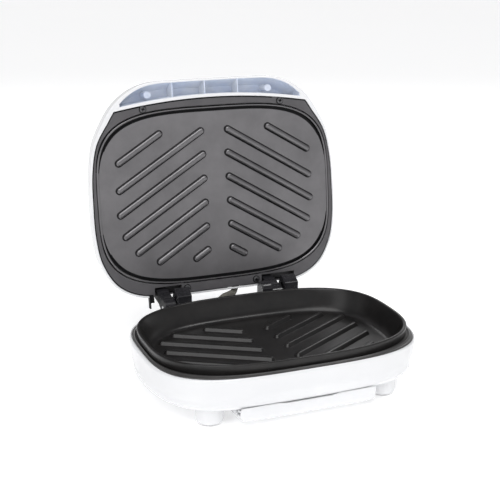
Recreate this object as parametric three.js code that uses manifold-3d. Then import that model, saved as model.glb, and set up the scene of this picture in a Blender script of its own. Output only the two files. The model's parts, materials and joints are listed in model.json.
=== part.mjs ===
// A compact two-serving contact grill (panini press) with its lid open on the stop.
// Units are millimetres, +Z is up, +X is the right-hand side and -Y is the front.
// The origin is on the ground, under the centre of the open grill's footprint.
//
// The base is modelled round its own centre line and the lid round its hinge axis, in
// the closed attitude. Nested groups then shift the base and swing the lid open.

import * as THREE from 'three';
import { mergeVertices } from 'three/addons/utils/BufferGeometryUtils.js';
import Module from 'manifold-3d';

const wasm = await Module();
wasm.setup();

// ---- driving dimensions -------------------------------------------------------------

const FOOTPRINT_SHIFT = -48.2;      // base centre line to the open grill's footprint centre
const GAP = 0.3;                    // assembly gap between neighbouring pieces
const RING_POINTS = 36;             // points on each large outline

// base: outlines are half width, half depth and squareness along each
const BASE = { a: 123, b: 88.2, n: 3.2 };
const BASE_LOW = { a: 122.7, b: 84.5, n: 5, m: 2.2 };
const LEDGE = { a: 120, b: 85.35, n: 3.45 };  // inner line of the white edge
const BASE_TOP = 46.2;
const BASE_BOTTOM = 14.5;
const BASE_WALL = 2.4;
const SHELF = { halfWidth: 82, front: 70, back: 119, top: 29.5, corner: 14 };
const FOOT_SPOTS = [[-80.2, -58], [80.2, -58], [-66, 98], [66, 98]];
const FOOT_RADIUS = 11.9;
const FOOT_BOTTOM = 0.8;
const PAD_RADIUS = 8.6;
const PAD_TOP = 2.7;

// lower plate
const RIM = { a: 117.8, b: 82.2, n: 2.93 };
const RIM_TOP = 55.3;
const WELL_FLOOR = 33.5;
const PLATE_WALL = 3;
const TRIM_TOP = 47.7;
const TRIM_BOTTOM = 42.8;
const PLATE_SCREW_SPOTS = [[-60, -36], [60, -36], [-60, 36], [60, 36]];
const PLATE_SCREW_HEAD = 18.9;      // underside of the sunk heads

// heating parts
const ROD_RADIUS = 2.4;
const ROD_LOOP = { halfWidth: 84, halfDepth: 50 };
const LOWER_ROD_Z = 27.5;
const UPPER_ROD_DEPTH = 7.6;        // behind the bezel's face
const REFLECTOR = { floor: 21.5, lip: 24.5 };
const THERMOSTAT = { x: -34, y: 12, bottom: 24.5, top: 29.7 };
const FUSE = { x: 32, y: 14, z: 26.9 };

// ribs of both plates
const RIB_ROOT_WIDTH = 7.6;
const RIB_CREST_WIDTH = 4.2;
const RIB_HEIGHT = 3;
const RIB_SLOPE = 31.2;             // degrees, the outer end lies further back
const RIB_INNER_X = 10.2;

// grease drain
const DRAIN = { halfWidth: 11, front: -72, back: -65, bottom: 15 };

// drip tray
const TRAY = { halfWidth: 57.8, front: -82.2, back: -14, bottom: 4.6, top: 13.9, wall: 1.8 };
const TRAY_FLANGE = 61;
const TRAY_LIP = { halfWidth: 61.7, front: -83, back: -79, bottom: 8.6, top: 17.1 };
const RAIL = { inner: 61.6, outer: 64, foot: 58.4, bottom: 10, front: -72 };

// hinge
const HINGE_Y = 105.5;
const HINGE_Z = 42.5;
const FLOAT_TRAVEL = 8;
const HINGE_X = [-56.5, 54.6];      // the face between knuckle and bracket block
const PIN_RADIUS = 2.5;
const KNUCKLE_RADIUS = 8.6;
const BRACKET_FLOOR = 3;
const RIGHT_CHEEK = 22.5;           // reach of the right bracket's cheek beside its knuckle
const OPEN_ANGLE = 97.5;

// lid, measured from the hinge axis in the closed attitude
const LID_PLANE = 18.8;             // height of the bezel's face
const LID_MID_Y = -101;             // its widest line
const LID_HEIGHT = 40;
const LID_WALL = 2.4;
const UPPER = { a: 119.1, b: 84.35, n: 3.64, y: -102.5 };
const BEZEL_THICKNESS = 2.4;
const BEZEL_ARC = { radius: 559, top: -195.8 };  // front edge of the bezel, a shallow arc
const POCKET = { halfWidth: 92, wall: 3.2, ribDepth: 9 };
const RECESSES = [[-69.5, -42], [42.2, 78]];
const RECESS_DEPTH = 11;
const RECESS_WALL = 1.8;
const RECESS_BACK_Y = -8;
const RECESS_FRONT_Y = -16.4;
const TAB = { x0: -75.2, x1: -74, stubX: -69.6, tip: 3.8, stubTip: -1.8, root: -10, depth: 5 };
const SCREW_SPOTS = [[-70, -188], [70, -188], [-36.3, -12.4], [36.3, -12.4]];
const SCREW_BOSS = 3.4;
const LAMP = { x: 0, y: -152 };

// Right half of the lid's outline and of the bezel's, from the front round to the back.
const LID_OUTLINE = [
  [0, -213.5], [34, -213.4], [63, -212.4], [81, -206.6], [98, -194], [109.5, -178],
  [119.4, -157.5], [124, -132], [125.5, -101], [125, -70], [120.4, -44.5], [107, -21.5],
  [86, -9.2], [50, -6], [0, -5.5],
];
const BEZEL_OUTLINE = [
  [0, -211.5], [34, -211.4], [62, -210], [79, -204], [94, -192], [104.6, -177],
  [116.2, -158], [122, -132], [123.5, -101], [123, -70], [118.5, -45.4], [105.5, -23.1],
  [85, -11.2], [50, -8], [0, -7.5],
];

// wire sleeve between base and lid
const SLEEVE_RADIUS = 3.4;
const SLEEVE_HOLE = 5.6;
const SLEEVE_BASE = { x: -12, y: 110 };
const SLEEVE_LID = { x: 16.2, z: 25.6 };
const SLEEVE_NOTCH = { x0: 6, x1: 22, z0: 20, z1: 32 };   // in the lid's rear wall

// cord inlet in the back of the shelf
const CORD_INLET = { x: 44, z: 22, hole: 3.8 };
const GLAND_NECK = 5.6;

// ---- materials ----------------------------------------------------------------------

function finish(color, roughness, metalness = 0) {
  return new THREE.MeshStandardMaterial({ color, roughness, metalness });
}

const WHITE_PLASTIC = finish(0xf1f2f5, 0.25);
const BLACK_PLASTIC = finish(0x242325, 0.45);
const BEZEL_PLASTIC = finish(0x56545a, 0.5);
const NON_STICK = finish(0x5f5d61, 0.42, 0.3);
const DARK_NON_STICK = finish(0x2b292a, 0.4, 0.3);
const STEEL = finish(0xa9abad, 0.35, 0.9);
const SHEET_STEEL = finish(0xb9bbbd, 0.4, 0.85);
const BLACK_SCREW = finish(0x2c2b2d, 0.4, 0.7);
const RUBBER = finish(0x1e1e1f, 0.9);
const FIBREGLASS = finish(0x9b9b8c, 0.8);
const BAKELITE = finish(0x3a2d24, 0.55);
const CERAMIC = finish(0xe5dfd0, 0.6);
const LAMP_LENS = finish(0xb3261c, 0.2);

// ---- geometry helpers ---------------------------------------------------------------

function toSolid(geometry) {
  const bare = geometry.clone();
  bare.deleteAttribute('normal');
  if (bare.getAttribute('uv')) bare.deleteAttribute('uv');
  const merged = mergeVertices(bare, 1e-4);
  return new wasm.Manifold(new wasm.Mesh({
    numProp: 3,
    vertProperties: new Float32Array(merged.getAttribute('position').array),
    triVerts: new Uint32Array(merged.getIndex().array),
  }));
}

function toGeometry(solid) {
  const mesh = solid.getMesh();
  const geometry = new THREE.BufferGeometry();
  geometry.setAttribute('position', new THREE.BufferAttribute(mesh.vertProperties, 3));
  geometry.setIndex(new THREE.BufferAttribute(mesh.triVerts, 1));
  return geometry;
}

function join(first, ...others) {
  return others.reduce((whole, piece) => whole.add(piece), first);
}

function cut(whole, ...tools) {
  return tools.reduce((rest, tool) => rest.subtract(tool), whole);
}

// A closed skin over a run of rings with equal point counts, capped at both ends.
function loft(rings) {
  const count = rings[0].length;
  const positions = rings.flat(2);
  const indices = [];
  for (let level = 0; level + 1 < rings.length; level++) {
    for (let i = 0; i < count; i++) {
      const next = (i + 1) % count;
      const a = level * count + i;
      const b = level * count + next;
      indices.push(a, b, b + count, a, b + count, a + count);
    }
  }
  const middle = (ring) => [0, 1, 2].map((k) => ring.reduce((sum, p) => sum + p[k], 0) / count);
  const first = positions.length / 3;
  positions.push(...middle(rings[0]), ...middle(rings[rings.length - 1]));
  const start = (rings.length - 1) * count;
  for (let i = 0; i < count; i++) {
    const next = (i + 1) % count;
    indices.push(first, next, i, first + 1, start + i, start + next);
  }
  const geometry = new THREE.BufferGeometry();
  geometry.setAttribute('position', new THREE.Float32BufferAttribute(positions, 3));
  geometry.setIndex(indices);
  return toSolid(geometry);
}

// A rounded rectangle as a superellipse, at one height, running anticlockwise.
function squareRing(outline, inset, z, centreY = 0, count = RING_POINTS) {
  const ring = [];
  for (let i = 0; i < count; i++) {
    const angle = (i / count) * 2 * Math.PI;
    const along = Math.abs(Math.cos(angle)) ** (2 / outline.n);
    const across = Math.abs(Math.sin(angle)) ** (2 / (outline.m ?? outline.n));
    ring.push([(outline.a - inset) * Math.sign(Math.cos(angle)) * along,
      centreY + (outline.b - inset) * Math.sign(Math.sin(angle)) * across, z]);
  }
  return ring;
}

// A smooth closed line through half an outline and its mirror image, running anticlockwise.
function closedLine(half) {
  const mirrored = half.slice(1, -1).reverse().map(([x, y]) => [-x, y]);
  const points = [...half, ...mirrored].map(([x, y]) => new THREE.Vector3(x, y, 0));
  return new THREE.CatmullRomCurve3(points, true);
}

// One of the lid's outlines at one height, drawn in towards its widest line by an inset.
function lidRing(outline, inset, z) {
  const line = closedLine(outline);
  const widest = Math.max(...outline.map(([x]) => x));
  const front = LID_MID_Y - outline[0][1];
  const back = outline[outline.length - 1][1] - LID_MID_Y;
  const ring = [];
  for (let i = 0; i < RING_POINTS; i++) {
    const point = line.getPoint(i / RING_POINTS);
    const reach = point.y < LID_MID_Y ? front : back;
    const y = LID_MID_Y + (point.y - LID_MID_Y) * (1 - inset / reach);
    ring.push([point.x * (1 - inset / widest), y, z]);
  }
  return ring;
}

function block(x0, x1, y0, y1, z0, z1) {
  const geometry = new THREE.BoxGeometry(x1 - x0, y1 - y0, z1 - z0);
  return toSolid(geometry.translate((x0 + x1) / 2, (y0 + y1) / 2, (z0 + z1) / 2));
}

// A flat outline in X and Y, raised from z0 to z1.
function slab(shape, z0, z1, curveSegments = 8) {
  const settings = { depth: z1 - z0, bevelEnabled: false, curveSegments };
  return toSolid(new THREE.ExtrudeGeometry(shape, settings).translate(0, 0, z0));
}

// A flat outline in Y and Z, running from x0 to x1.
function sideSlab(shape, x0, x1, curveSegments = 8) {
  const settings = { depth: x1 - x0, bevelEnabled: false, curveSegments };
  const geometry = new THREE.ExtrudeGeometry(shape, settings);
  geometry.rotateY(Math.PI / 2);
  geometry.rotateX(Math.PI / 2);
  return toSolid(geometry.translate(x0, 0, 0));
}

function roundedShape(x0, x1, y0, y1, radius) {
  const shape = new THREE.Shape();
  shape.moveTo(x0 + radius, y0);
  shape.lineTo(x1 - radius, y0);
  shape.absarc(x1 - radius, y0 + radius, radius, -Math.PI / 2, 0, false);
  shape.lineTo(x1, y1 - radius);
  shape.absarc(x1 - radius, y1 - radius, radius, 0, Math.PI / 2, false);
  shape.lineTo(x0 + radius, y1);
  shape.absarc(x0 + radius, y1 - radius, radius, Math.PI / 2, Math.PI, false);
  shape.lineTo(x0, y0 + radius);
  shape.absarc(x0 + radius, y0 + radius, radius, Math.PI, 1.5 * Math.PI, false);
  return shape;
}

function upright(radius, x, y, z0, z1, segments = 12) {
  const geometry = new THREE.CylinderGeometry(radius, radius, z1 - z0, segments);
  return toSolid(geometry.rotateX(Math.PI / 2).translate(x, y, (z0 + z1) / 2));
}

function crossbar(radius, x0, x1, y, z, segments = 14) {
  const geometry = new THREE.CylinderGeometry(radius, radius, x1 - x0, segments);
  return toSolid(geometry.rotateZ(Math.PI / 2).translate((x0 + x1) / 2, y, z));
}

function lengthwise(radius, x, y0, y1, z, segments = 16) {
  const geometry = new THREE.CylinderGeometry(radius, radius, y1 - y0, segments);
  return toSolid(geometry.translate(x, (y0 + y1) / 2, z));
}

// A body of revolution from [radius, height] pairs that start and end on the axis.
function turned(profile, x, y, segments = 16) {
  const points = profile.map(([radius, height]) => new THREE.Vector2(radius, height));
  const geometry = new THREE.LatheGeometry(points, segments);
  return toSolid(geometry.rotateX(Math.PI / 2).translate(x, y, 0));
}

function roundSection(radius, sides) {
  const shape = new THREE.Shape();
  for (let i = 0; i < sides; i++) {
    const angle = (i / sides) * 2 * Math.PI;
    const point = [radius * Math.cos(angle), radius * Math.sin(angle)];
    if (i === 0) shape.moveTo(...point);
    else shape.lineTo(...point);
  }
  shape.closePath();
  return shape;
}

function tube(points, radius, steps, sides = 8) {
  const path = new THREE.CatmullRomCurve3(points.map((p) => new THREE.Vector3(...p)));
  const settings = { steps, extrudePath: path, bevelEnabled: false };
  return toSolid(new THREE.ExtrudeGeometry(roundSection(radius, sides), settings));
}

// ---- ribs ---------------------------------------------------------------------------

// One side's seven ribs as [inner x, inner y, outer x], with y measured from the plate's
// centre and positive towards the hinges. The first and last are the short ones.
const UPPER_RIBS = [
  [53, -61.5, 99.6],
  [11, -61.5, 100.5],
  [RIB_INNER_X, -39, 101],
  [RIB_INNER_X, -15.6, 97.2],
  [RIB_INNER_X, 7.8, 85.7],
  [RIB_INNER_X, 31.2, 65],
  [RIB_INNER_X, 54.6, 27.9],
];

const LOWER_RIBS = [
  [34, -59.5, 87],
  [RIB_INNER_X, -52.5, 94],
  [RIB_INNER_X, -29.1, 94],
  [RIB_INNER_X, -5.7, 92],
  [RIB_INNER_X, 17.7, 76],
  [RIB_INNER_X, 41.1, 44],
];

// The outline of one rib at one height: a bar with half-round ends.
function ribRing(side, [innerX, innerY, outerX], centreY, radius, z) {
  const slope = THREE.MathUtils.degToRad(RIB_SLOPE);
  const end = RIB_ROOT_WIDTH / 2 - 1;
  const startX = innerX + end;
  const run = outerX - end - startX;
  const heading = Math.atan2(Math.tan(slope), side);
  const tips = [[side * (startX + run), centreY + innerY + run * Math.tan(slope), -0.5],
    [side * startX, centreY + innerY, 0.5]];
  const ring = [];
  for (const [x, y, turn] of tips) {
    for (let i = 0; i <= 4; i++) {
      const angle = heading + (turn + i / 4) * Math.PI;
      ring.push([x + radius * Math.cos(angle), y + radius * Math.sin(angle), z]);
    }
  }
  return ring;
}

// Tapered ribs from their roots to their crests; the crests may lie above or below.
function ribs(table, centreY, rootZ, crestZ) {
  const levels = [[RIB_ROOT_WIDTH / 2, rootZ], [RIB_CREST_WIDTH / 2, crestZ]];
  if (crestZ < rootZ) levels.reverse();
  const solids = [];
  for (const row of table) {
    for (const side of [-1, 1]) {
      solids.push(loft(levels.map(([radius, z]) => ribRing(side, row, centreY, radius, z))));
    }
  }
  return solids;
}

// ---- base pieces --------------------------------------------------------------------

function baseShell() {
  const floor = BASE_BOTTOM;
  const outside = [
    squareRing(BASE_LOW, 20, floor - 0.2),
    squareRing(BASE_LOW, 10.4, floor),
    squareRing(BASE_LOW, 5, floor + 2),
    squareRing(BASE_LOW, 2, floor + 5),
    squareRing(BASE_LOW, 0.6, floor + 9),
    squareRing(BASE, 1, floor + 16),
    squareRing(BASE, 0, BASE_TOP - 4),
    squareRing(BASE, 0.5, BASE_TOP - 1.2),
    squareRing(BASE, 1.7, BASE_TOP),
    squareRing(LEDGE, -0.6, BASE_TOP),
  ];
  const inside = [
    squareRing(BASE_LOW, 22, floor + BASE_WALL),
    squareRing(BASE_LOW, 10.4, floor + BASE_WALL + 0.4),
    squareRing(BASE_LOW, 5.2, floor + 6),
    squareRing(BASE, 3.4, floor + 16),
    squareRing(LEDGE, 2.4, TRIM_BOTTOM - 1.8),
    squareRing(LEDGE, 2.4, TRIM_BOTTOM - GAP),
    squareRing(LEDGE, 0, TRIM_BOTTOM - GAP + 0.01),
    squareRing(LEDGE, 0, BASE_TOP + 1),
  ];
  const { halfWidth, front, back, top, corner } = SHELF;
  const shelf = slab(roundedShape(-halfWidth, halfWidth, front, back, corner), floor, top);
  const shelfRoom = slab(roundedShape(-halfWidth + BASE_WALL, halfWidth - BASE_WALL,
    front - 10, back - BASE_WALL, corner - BASE_WALL), floor + BASE_WALL, top - BASE_WALL);
  let shell = join(loft(outside), shelf);
  for (const [x, y] of FOOT_SPOTS) {
    shell = shell.add(turned([[0, FOOT_BOTTOM], [FOOT_RADIUS - 2.6, FOOT_BOTTOM],
      [FOOT_RADIUS - 0.8, 1.9], [FOOT_RADIUS, 4], [FOOT_RADIUS, floor + 4], [0, floor + 4]], x, y));
  }
  shell = cut(shell, loft(inside), shelfRoom);
  for (const [x, y] of FOOT_SPOTS) {
    shell = cut(shell, upright(FOOT_RADIUS - 2.4, x, y, PAD_TOP + 2, floor + 5),
      upright(PAD_RADIUS + GAP, x, y, FOOT_BOTTOM - 1, PAD_TOP + GAP));
  }
  for (const [x, y] of PLATE_SCREW_SPOTS) {
    const boss = upright(5, x, y, floor + 0.5, PLATE_SCREW_HEAD + 6.6);
    shell = cut(shell.add(boss), upright(3.6, x, y, floor - 1, PLATE_SCREW_HEAD + 2.2),
      upright(1.9, x, y, PLATE_SCREW_HEAD, PLATE_SCREW_HEAD + 8));
  }
  const drainHole = block(-DRAIN.halfWidth - 3.6, DRAIN.halfWidth + 3.6, DRAIN.front - 3.6,
    DRAIN.back + 3.6, floor - 2, floor + 5);
  return cut(join(shell, ...trayRails()), drainHole,
    upright(SLEEVE_HOLE, SLEEVE_BASE.x, SLEEVE_BASE.y, top - BASE_WALL - 1, top + 1),
    lengthwise(GLAND_NECK + GAP, CORD_INLET.x, back - 8, back + 2, CORD_INLET.z));
}

// Two angle rails under the base carry the tray's flanges.
function trayRails() {
  const { inner, outer, foot, bottom, front } = RAIL;
  const back = TRAY.back + 4;
  const root = BASE_BOTTOM + 1;
  const rails = [block(-50, 50, back - 2, back, bottom + 0.5, root)];
  for (const side of [-1, 1]) {
    const [web0, web1] = [side * inner, side * outer].sort((p, q) => p - q);
    const [foot0, foot1] = [side * foot, side * (outer - 1)].sort((p, q) => p - q);
    rails.push(block(web0, web1, front, back, bottom, root));
    rails.push(block(foot0, foot1, front, back, bottom, bottom + 1.8));
  }
  return rails;
}

function footPad(x, y) {
  return upright(PAD_RADIUS, x, y, 0, PAD_TOP);
}

// The dark ledge between the white edge and the plate's wall, with a small ridge on top.
function baseTrim() {
  const outside = [
    squareRing(LEDGE, GAP, TRIM_BOTTOM),
    squareRing(LEDGE, GAP, TRIM_TOP - 0.9),
    squareRing(LEDGE, 0.8, TRIM_TOP),
  ];
  const inside = [
    squareRing(RIM, 1.2 - GAP, TRIM_BOTTOM - 1),
    squareRing(RIM, 1.2 - GAP, 45.5),
    squareRing(RIM, 0.7 - GAP, TRIM_TOP + 1),
  ];
  return loft(outside).subtract(loft(inside));
}

function lowerPlate() {
  const outside = [
    squareRing(RIM, 14, WELL_FLOOR - PLATE_WALL),
    squareRing(RIM, 9, WELL_FLOOR - PLATE_WALL + 1.2),
    squareRing(RIM, 4.4, WELL_FLOOR + 6),
    squareRing(RIM, 1.2, 45.1),
    squareRing(RIM, 0, RIM_TOP - 1),
    squareRing(RIM, 0.5, RIM_TOP),
  ];
  const inside = [
    squareRing(RIM, 17, WELL_FLOOR),
    squareRing(RIM, 12, WELL_FLOOR + 1),
    squareRing(RIM, 9, WELL_FLOOR + 5),
    squareRing(RIM, 3.6, RIM_TOP - 1.5),
    squareRing(RIM, 2.6, RIM_TOP),
    squareRing(RIM, 2.6, RIM_TOP + 1),
  ];
  const { halfWidth, front, back, bottom } = DRAIN;
  const spout = slab(roundedShape(-halfWidth - 2.4, halfWidth + 2.4, front - 2.4, back + 2.4, 4),
    bottom, WELL_FLOOR - 1, 4);
  const way = slab(roundedShape(-halfWidth, halfWidth, front, back, 3), bottom - 2,
    WELL_FLOOR + 4, 4);
  const tub = loft(outside).subtract(loft(inside));
  const ridged = join(tub, ...ribs(LOWER_RIBS, 0, WELL_FLOOR - 1, WELL_FLOOR + RIB_HEIGHT), spout);
  let plate = ridged.subtract(way);
  for (const [x, y] of PLATE_SCREW_SPOTS) {
    const root = PLATE_SCREW_HEAD + 6.6 + GAP;
    plate = plate.add(upright(4, x, y, root, WELL_FLOOR - 1)).subtract(
      upright(1.9, x, y, root - 1, WELL_FLOOR - 2.4));
  }
  return plate;
}

// A sheathed heating rod bent into one long loop under a plate.
function heatingRod(centreY, z) {
  const { halfWidth, halfDepth } = ROD_LOOP;
  const tailY = centreY + halfDepth + 12;
  const half = [
    [14, tailY],
    [16, centreY + halfDepth + 3],
    [26, centreY + halfDepth - 1],
    [halfWidth - 20, centreY + halfDepth],
    [halfWidth - 6, centreY + halfDepth - 6],
    [halfWidth, centreY + halfDepth - 20],
    [halfWidth, centreY - halfDepth + 20],
    [halfWidth - 6, centreY - halfDepth + 6],
    [halfWidth - 20, centreY - halfDepth],
    [20, centreY - halfDepth],
  ];
  const right = half.map(([x, y]) => [x, y, z]);
  const left = half.map(([x, y]) => [-x, y, z]).reverse();
  return tube([...right, ...left], ROD_RADIUS, 44, 6);
}

// A shallow pressed tray that keeps the heat off the plastic.
function reflector(outline, inset, centreY, floorZ, lipZ) {
  const thickness = 0.8;
  const up = Math.sign(lipZ - floorZ);
  const count = 28;
  const low = (z, extra) => squareRing(outline, inset + extra, z, centreY, count);
  const outer = [low(floorZ, 3), low(lipZ, 0)];
  const inner = [low(floorZ + up * thickness, 3 + thickness), low(lipZ + up * 2, thickness - 0.6)];
  if (up < 0) {
    outer.reverse();
    inner.reverse();
  }
  return loft(outer).subtract(loft(inner));
}

function baseReflector() {
  const { floor, lip } = REFLECTOR;
  let sheet = reflector(RIM, 24, 0, floor, lip);
  for (const [x, y] of PLATE_SCREW_SPOTS) {
    sheet = sheet.subtract(upright(6, x, y, floor - 6, lip + 5));
  }
  return sheet;
}

function thermostat() {
  const { x, y, bottom, top } = THERMOSTAT;
  return join(upright(8, x, y, bottom, top), upright(9.5, x, y, top - 1.6, top),
    block(x - 7, x + 7, y - 1.5, y + 1.5, bottom - 1.6, bottom + 0.6));
}

function thermalFuse() {
  const { x, y, z } = FUSE;
  return join(crossbar(2.2, x - 8, x + 8, y, z, 12), crossbar(0.9, x - 14, x + 14, y, z, 8));
}

function terminalBlock() {
  const top = SHELF.top - BASE_WALL - 1;
  const body = block(20, 50, 92, 106, BASE_BOTTOM + 5, top);
  return cut(body, block(28.5, 29.5, 91, 107, top - 2, top + 1),
    block(38.5, 39.5, 91, 107, top - 2, top + 1));
}

function plateScrew(x, y) {
  const head = upright(3.1, x, y, PLATE_SCREW_HEAD, PLATE_SCREW_HEAD + 1.9);
  return head.add(upright(1.5, x, y, PLATE_SCREW_HEAD + 1.6, PLATE_SCREW_HEAD + 10.6, 10));
}

// ---- hinge pieces -------------------------------------------------------------------

function slotShape() {
  const radius = PIN_RADIUS + GAP;
  const shape = new THREE.Shape();
  shape.absarc(HINGE_Y, HINGE_Z, radius, Math.PI, 2 * Math.PI, false);
  shape.absarc(HINGE_Y, HINGE_Z + FLOAT_TRAVEL, radius, 0, Math.PI, false);
  return shape;
}

function cheekShape() {
  const shape = new THREE.Shape();
  shape.moveTo(HINGE_Y - 9, SHELF.top + GAP);
  shape.lineTo(HINGE_Y + 9, SHELF.top + GAP);
  shape.lineTo(HINGE_Y + 8, HINGE_Z + 6);
  shape.absarc(HINGE_Y, HINGE_Z + 6, 8, 0, Math.PI, false);
  return shape;
}

// The block beside the knuckle: upright in front, with a ramp above that leads the lid.
function rampShape() {
  const shape = new THREE.Shape();
  shape.moveTo(HINGE_Y - 8, SHELF.top + GAP);
  shape.lineTo(HINGE_Y + 10, SHELF.top + GAP);
  shape.lineTo(HINGE_Y + 10, HINGE_Z + 6);
  shape.lineTo(HINGE_Y + 4, HINGE_Z + 17);
  shape.lineTo(HINGE_Y + 1, HINGE_Z + 17);
  shape.lineTo(HINGE_Y - 8, HINGE_Z + 12);
  return shape;
}

// A floor with the post on it, and a cheek on the knuckle's other side where there is one.
function hingeBracket(x, cheekReach) {
  const foot = SHELF.top + GAP;
  const left = Math.max(cheekReach, 13.5);
  const floor = slab(roundedShape(x - left, x + 15.5, HINGE_Y - 8, HINGE_Y + 12, 2), foot,
    foot + BRACKET_FLOOR);
  const post = sideSlab(rampShape(), x + 0.8, x + 15.3);
  let bracket = floor.add(post);
  if (cheekReach > 0) bracket = bracket.add(sideSlab(cheekShape(), x - cheekReach, x - 12.5));
  const slot = sideSlab(slotShape(), x - 18, x + 11);
  const holes = bracketScrewSpots(x).map(([sx, sy]) => upright(1.9, sx, sy, foot - 1, foot + 5));
  return cut(bracket, slot, ...holes);
}

function bracketScrewSpots(x) {
  return [[x - 9.5, HINGE_Y - 4.6], [x - 9.5, HINGE_Y + 8.6]];
}

function hingePin(x, reach) {
  return crossbar(PIN_RADIUS, x - reach, x + 10, HINGE_Y, HINGE_Z, 16);
}

function cordGland() {
  const { x, z, hole } = CORD_INLET;
  const { back } = SHELF;
  const neck = lengthwise(GLAND_NECK, x, back - 5, back + 1, z, 20);
  const collar = lengthwise(7.2, x, back + GAP, back + 3.3, z, 20);
  const nose = new THREE.CylinderGeometry(5.2, 6.6, 5, 20).translate(x, back + 5.6, z);
  return cut(join(neck, collar, toSolid(nose)), lengthwise(hole, x, back - 8, back + 10, z, 20));
}

function baseGrommet() {
  const { x, y } = SLEEVE_BASE;
  const { top } = SHELF;
  const ring = join(upright(7.2, x, y, top + GAP, top + 2.2), upright(SLEEVE_HOLE - GAP, x, y,
    top - 4, top + 1));
  return ring.subtract(upright(SLEEVE_RADIUS + 2 * GAP, x, y, top - 6, top + 4));
}

// ---- drip tray ----------------------------------------------------------------------

function dripTray() {
  const { halfWidth, front, back, bottom, top, wall } = TRAY;
  const outline = (inset, z) => {
    const shape = roundedShape(-halfWidth + inset, halfWidth - inset, front + inset,
      back - inset, 11);
    return shape.getPoints(5).slice(0, -1).map((p) => [p.x, p.y, z]);
  };
  const pan = loft([outline(2.4, bottom), outline(0.8, bottom + 1.4), outline(0, top)]);
  const room = loft([outline(wall + 2.4, bottom + wall), outline(wall + 0.8, bottom + 4),
    outline(wall, top + 1)]);
  const flange = slab(roundedShape(-TRAY_FLANGE, TRAY_FLANGE, front + 2, back, 8), top - 1.8,
    top, 5);
  return join(pan, flange, trayLip()).subtract(room);
}

// The lip in front: a long rounded bar that overhangs the pan on both sides.
function trayLip() {
  const { halfWidth, front, back, bottom, top } = TRAY_LIP;
  const level = (inset, cutBack, z) => {
    const shape = roundedShape(-halfWidth + 2.2 * inset, halfWidth - 2.2 * inset, front + inset,
      back - cutBack, 0.5 + (back - cutBack - front - inset - 1.1) / 2);
    return shape.getPoints(3).slice(0, -1).map((p) => [p.x, p.y, z]);
  };
  return loft([level(0.8, 0, bottom), level(0.1, 0, bottom + 1.6), level(0, 0, top - 3.6),
    level(0.1, 1.2, top - 1.8), level(0.5, 2.1, top)]);
}

// ---- lid pieces, round the hinge axis in the closed attitude --------------------------

function domeRings(inset, sink) {
  const top = LID_PLANE + LID_HEIGHT - sink;
  const level = (extra, z) => lidRing(LID_OUTLINE, extra, z);
  return [
    level(0.6 + inset, LID_PLANE + 14),
    level(4.4 + inset, LID_PLANE + 22),
    level(11 + inset, top - 10.8),
    level(21 + inset, top - 6),
    level(38 + inset, top - 2.4),
    level(60 + inset, top - 0.6),
    level(84, top),
  ];
}

function outerDome() {
  return loft([lidRing(LID_OUTLINE, 0, LID_PLANE), lidRing(LID_OUTLINE, -0.4, LID_PLANE + 7),
    ...domeRings(0, 0)]);
}

function innerDome() {
  return loft([lidRing(BEZEL_OUTLINE, -GAP, LID_PLANE - 1),
    lidRing(BEZEL_OUTLINE, -GAP, LID_PLANE + 4), lidRing(LID_OUTLINE, LID_WALL, LID_PLANE + 8),
    ...domeRings(LID_WALL, LID_WALL)]);
}

// Everything in front of the bezel's front edge, moved forward by a distance.
function beyondArc(forward, z0, z1) {
  const { radius, top } = BEZEL_ARC;
  const centreY = top - forward + radius;
  const half = Math.asin(140 / radius);
  const shape = new THREE.Shape();
  shape.absarc(0, centreY, radius, 1.5 * Math.PI - half, 1.5 * Math.PI + half, false);
  shape.lineTo(140, -260);
  shape.lineTo(-140, -260);
  return slab(shape, z0, z1, 20);
}

// The finger pocket in the front lip, open downwards, with ribs that stop short of its mouth.
function handlePocket() {
  const { halfWidth, wall } = POCKET;
  const low = LID_PLANE - 2;
  const high = LID_PLANE + 24;
  const room = beyondArc(wall, low, high).intersect(
    block(-halfWidth, halfWidth, -260, -170, low, high));
  const ribFace = LID_PLANE + POCKET.ribDepth;
  const stiffeners = [-37, -4, 30].map((x) => block(x - 0.9, x + 0.9, -260, -170, ribFace,
    high + 1));
  const bosses = [-62, 62].map((x) => upright(SCREW_BOSS, x, -201, ribFace, high + 1));
  return cut(room, ...stiffeners, ...bosses);
}

function lidShell() {
  const inner = innerDome();
  const low = LID_PLANE - 3;
  const high = LID_PLANE + LID_HEIGHT + 5;
  let room = inner.subtract(beyondArc(GAP, low, high));
  for (const [x, y] of SCREW_SPOTS) {
    const boss = upright(SCREW_BOSS, x, y, LID_PLANE + BEZEL_THICKNESS + GAP, high);
    room = cut(room, boss).add(upright(1.9, x, y, LID_PLANE + 1, LID_PLANE + 13));
  }
  const pocket = handlePocket().intersect(inner);
  let shell = cut(outerDome(), room, pocket);
  for (const [x0, x1] of RECESSES) {
    const side = RECESS_WALL + GAP;
    shell = shell.subtract(block(x0 - side, x1 + side, RECESS_FRONT_Y - side, 4, LID_PLANE - 2,
      LID_PLANE + RECESS_DEPTH + GAP));
  }
  const { x0, x1, z0, z1 } = SLEEVE_NOTCH;
  return cut(shell, upright(4.4, LAMP.x, LAMP.y, LID_PLANE + 20, LID_PLANE + 50),
    block(x0, x1, -13, 4, z0, z1),
    block(TAB.x0 - GAP, TAB.stubX, TAB.root - GAP, 4, LID_PLANE - 2, LID_PLANE + TAB.depth + GAP));
}

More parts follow.
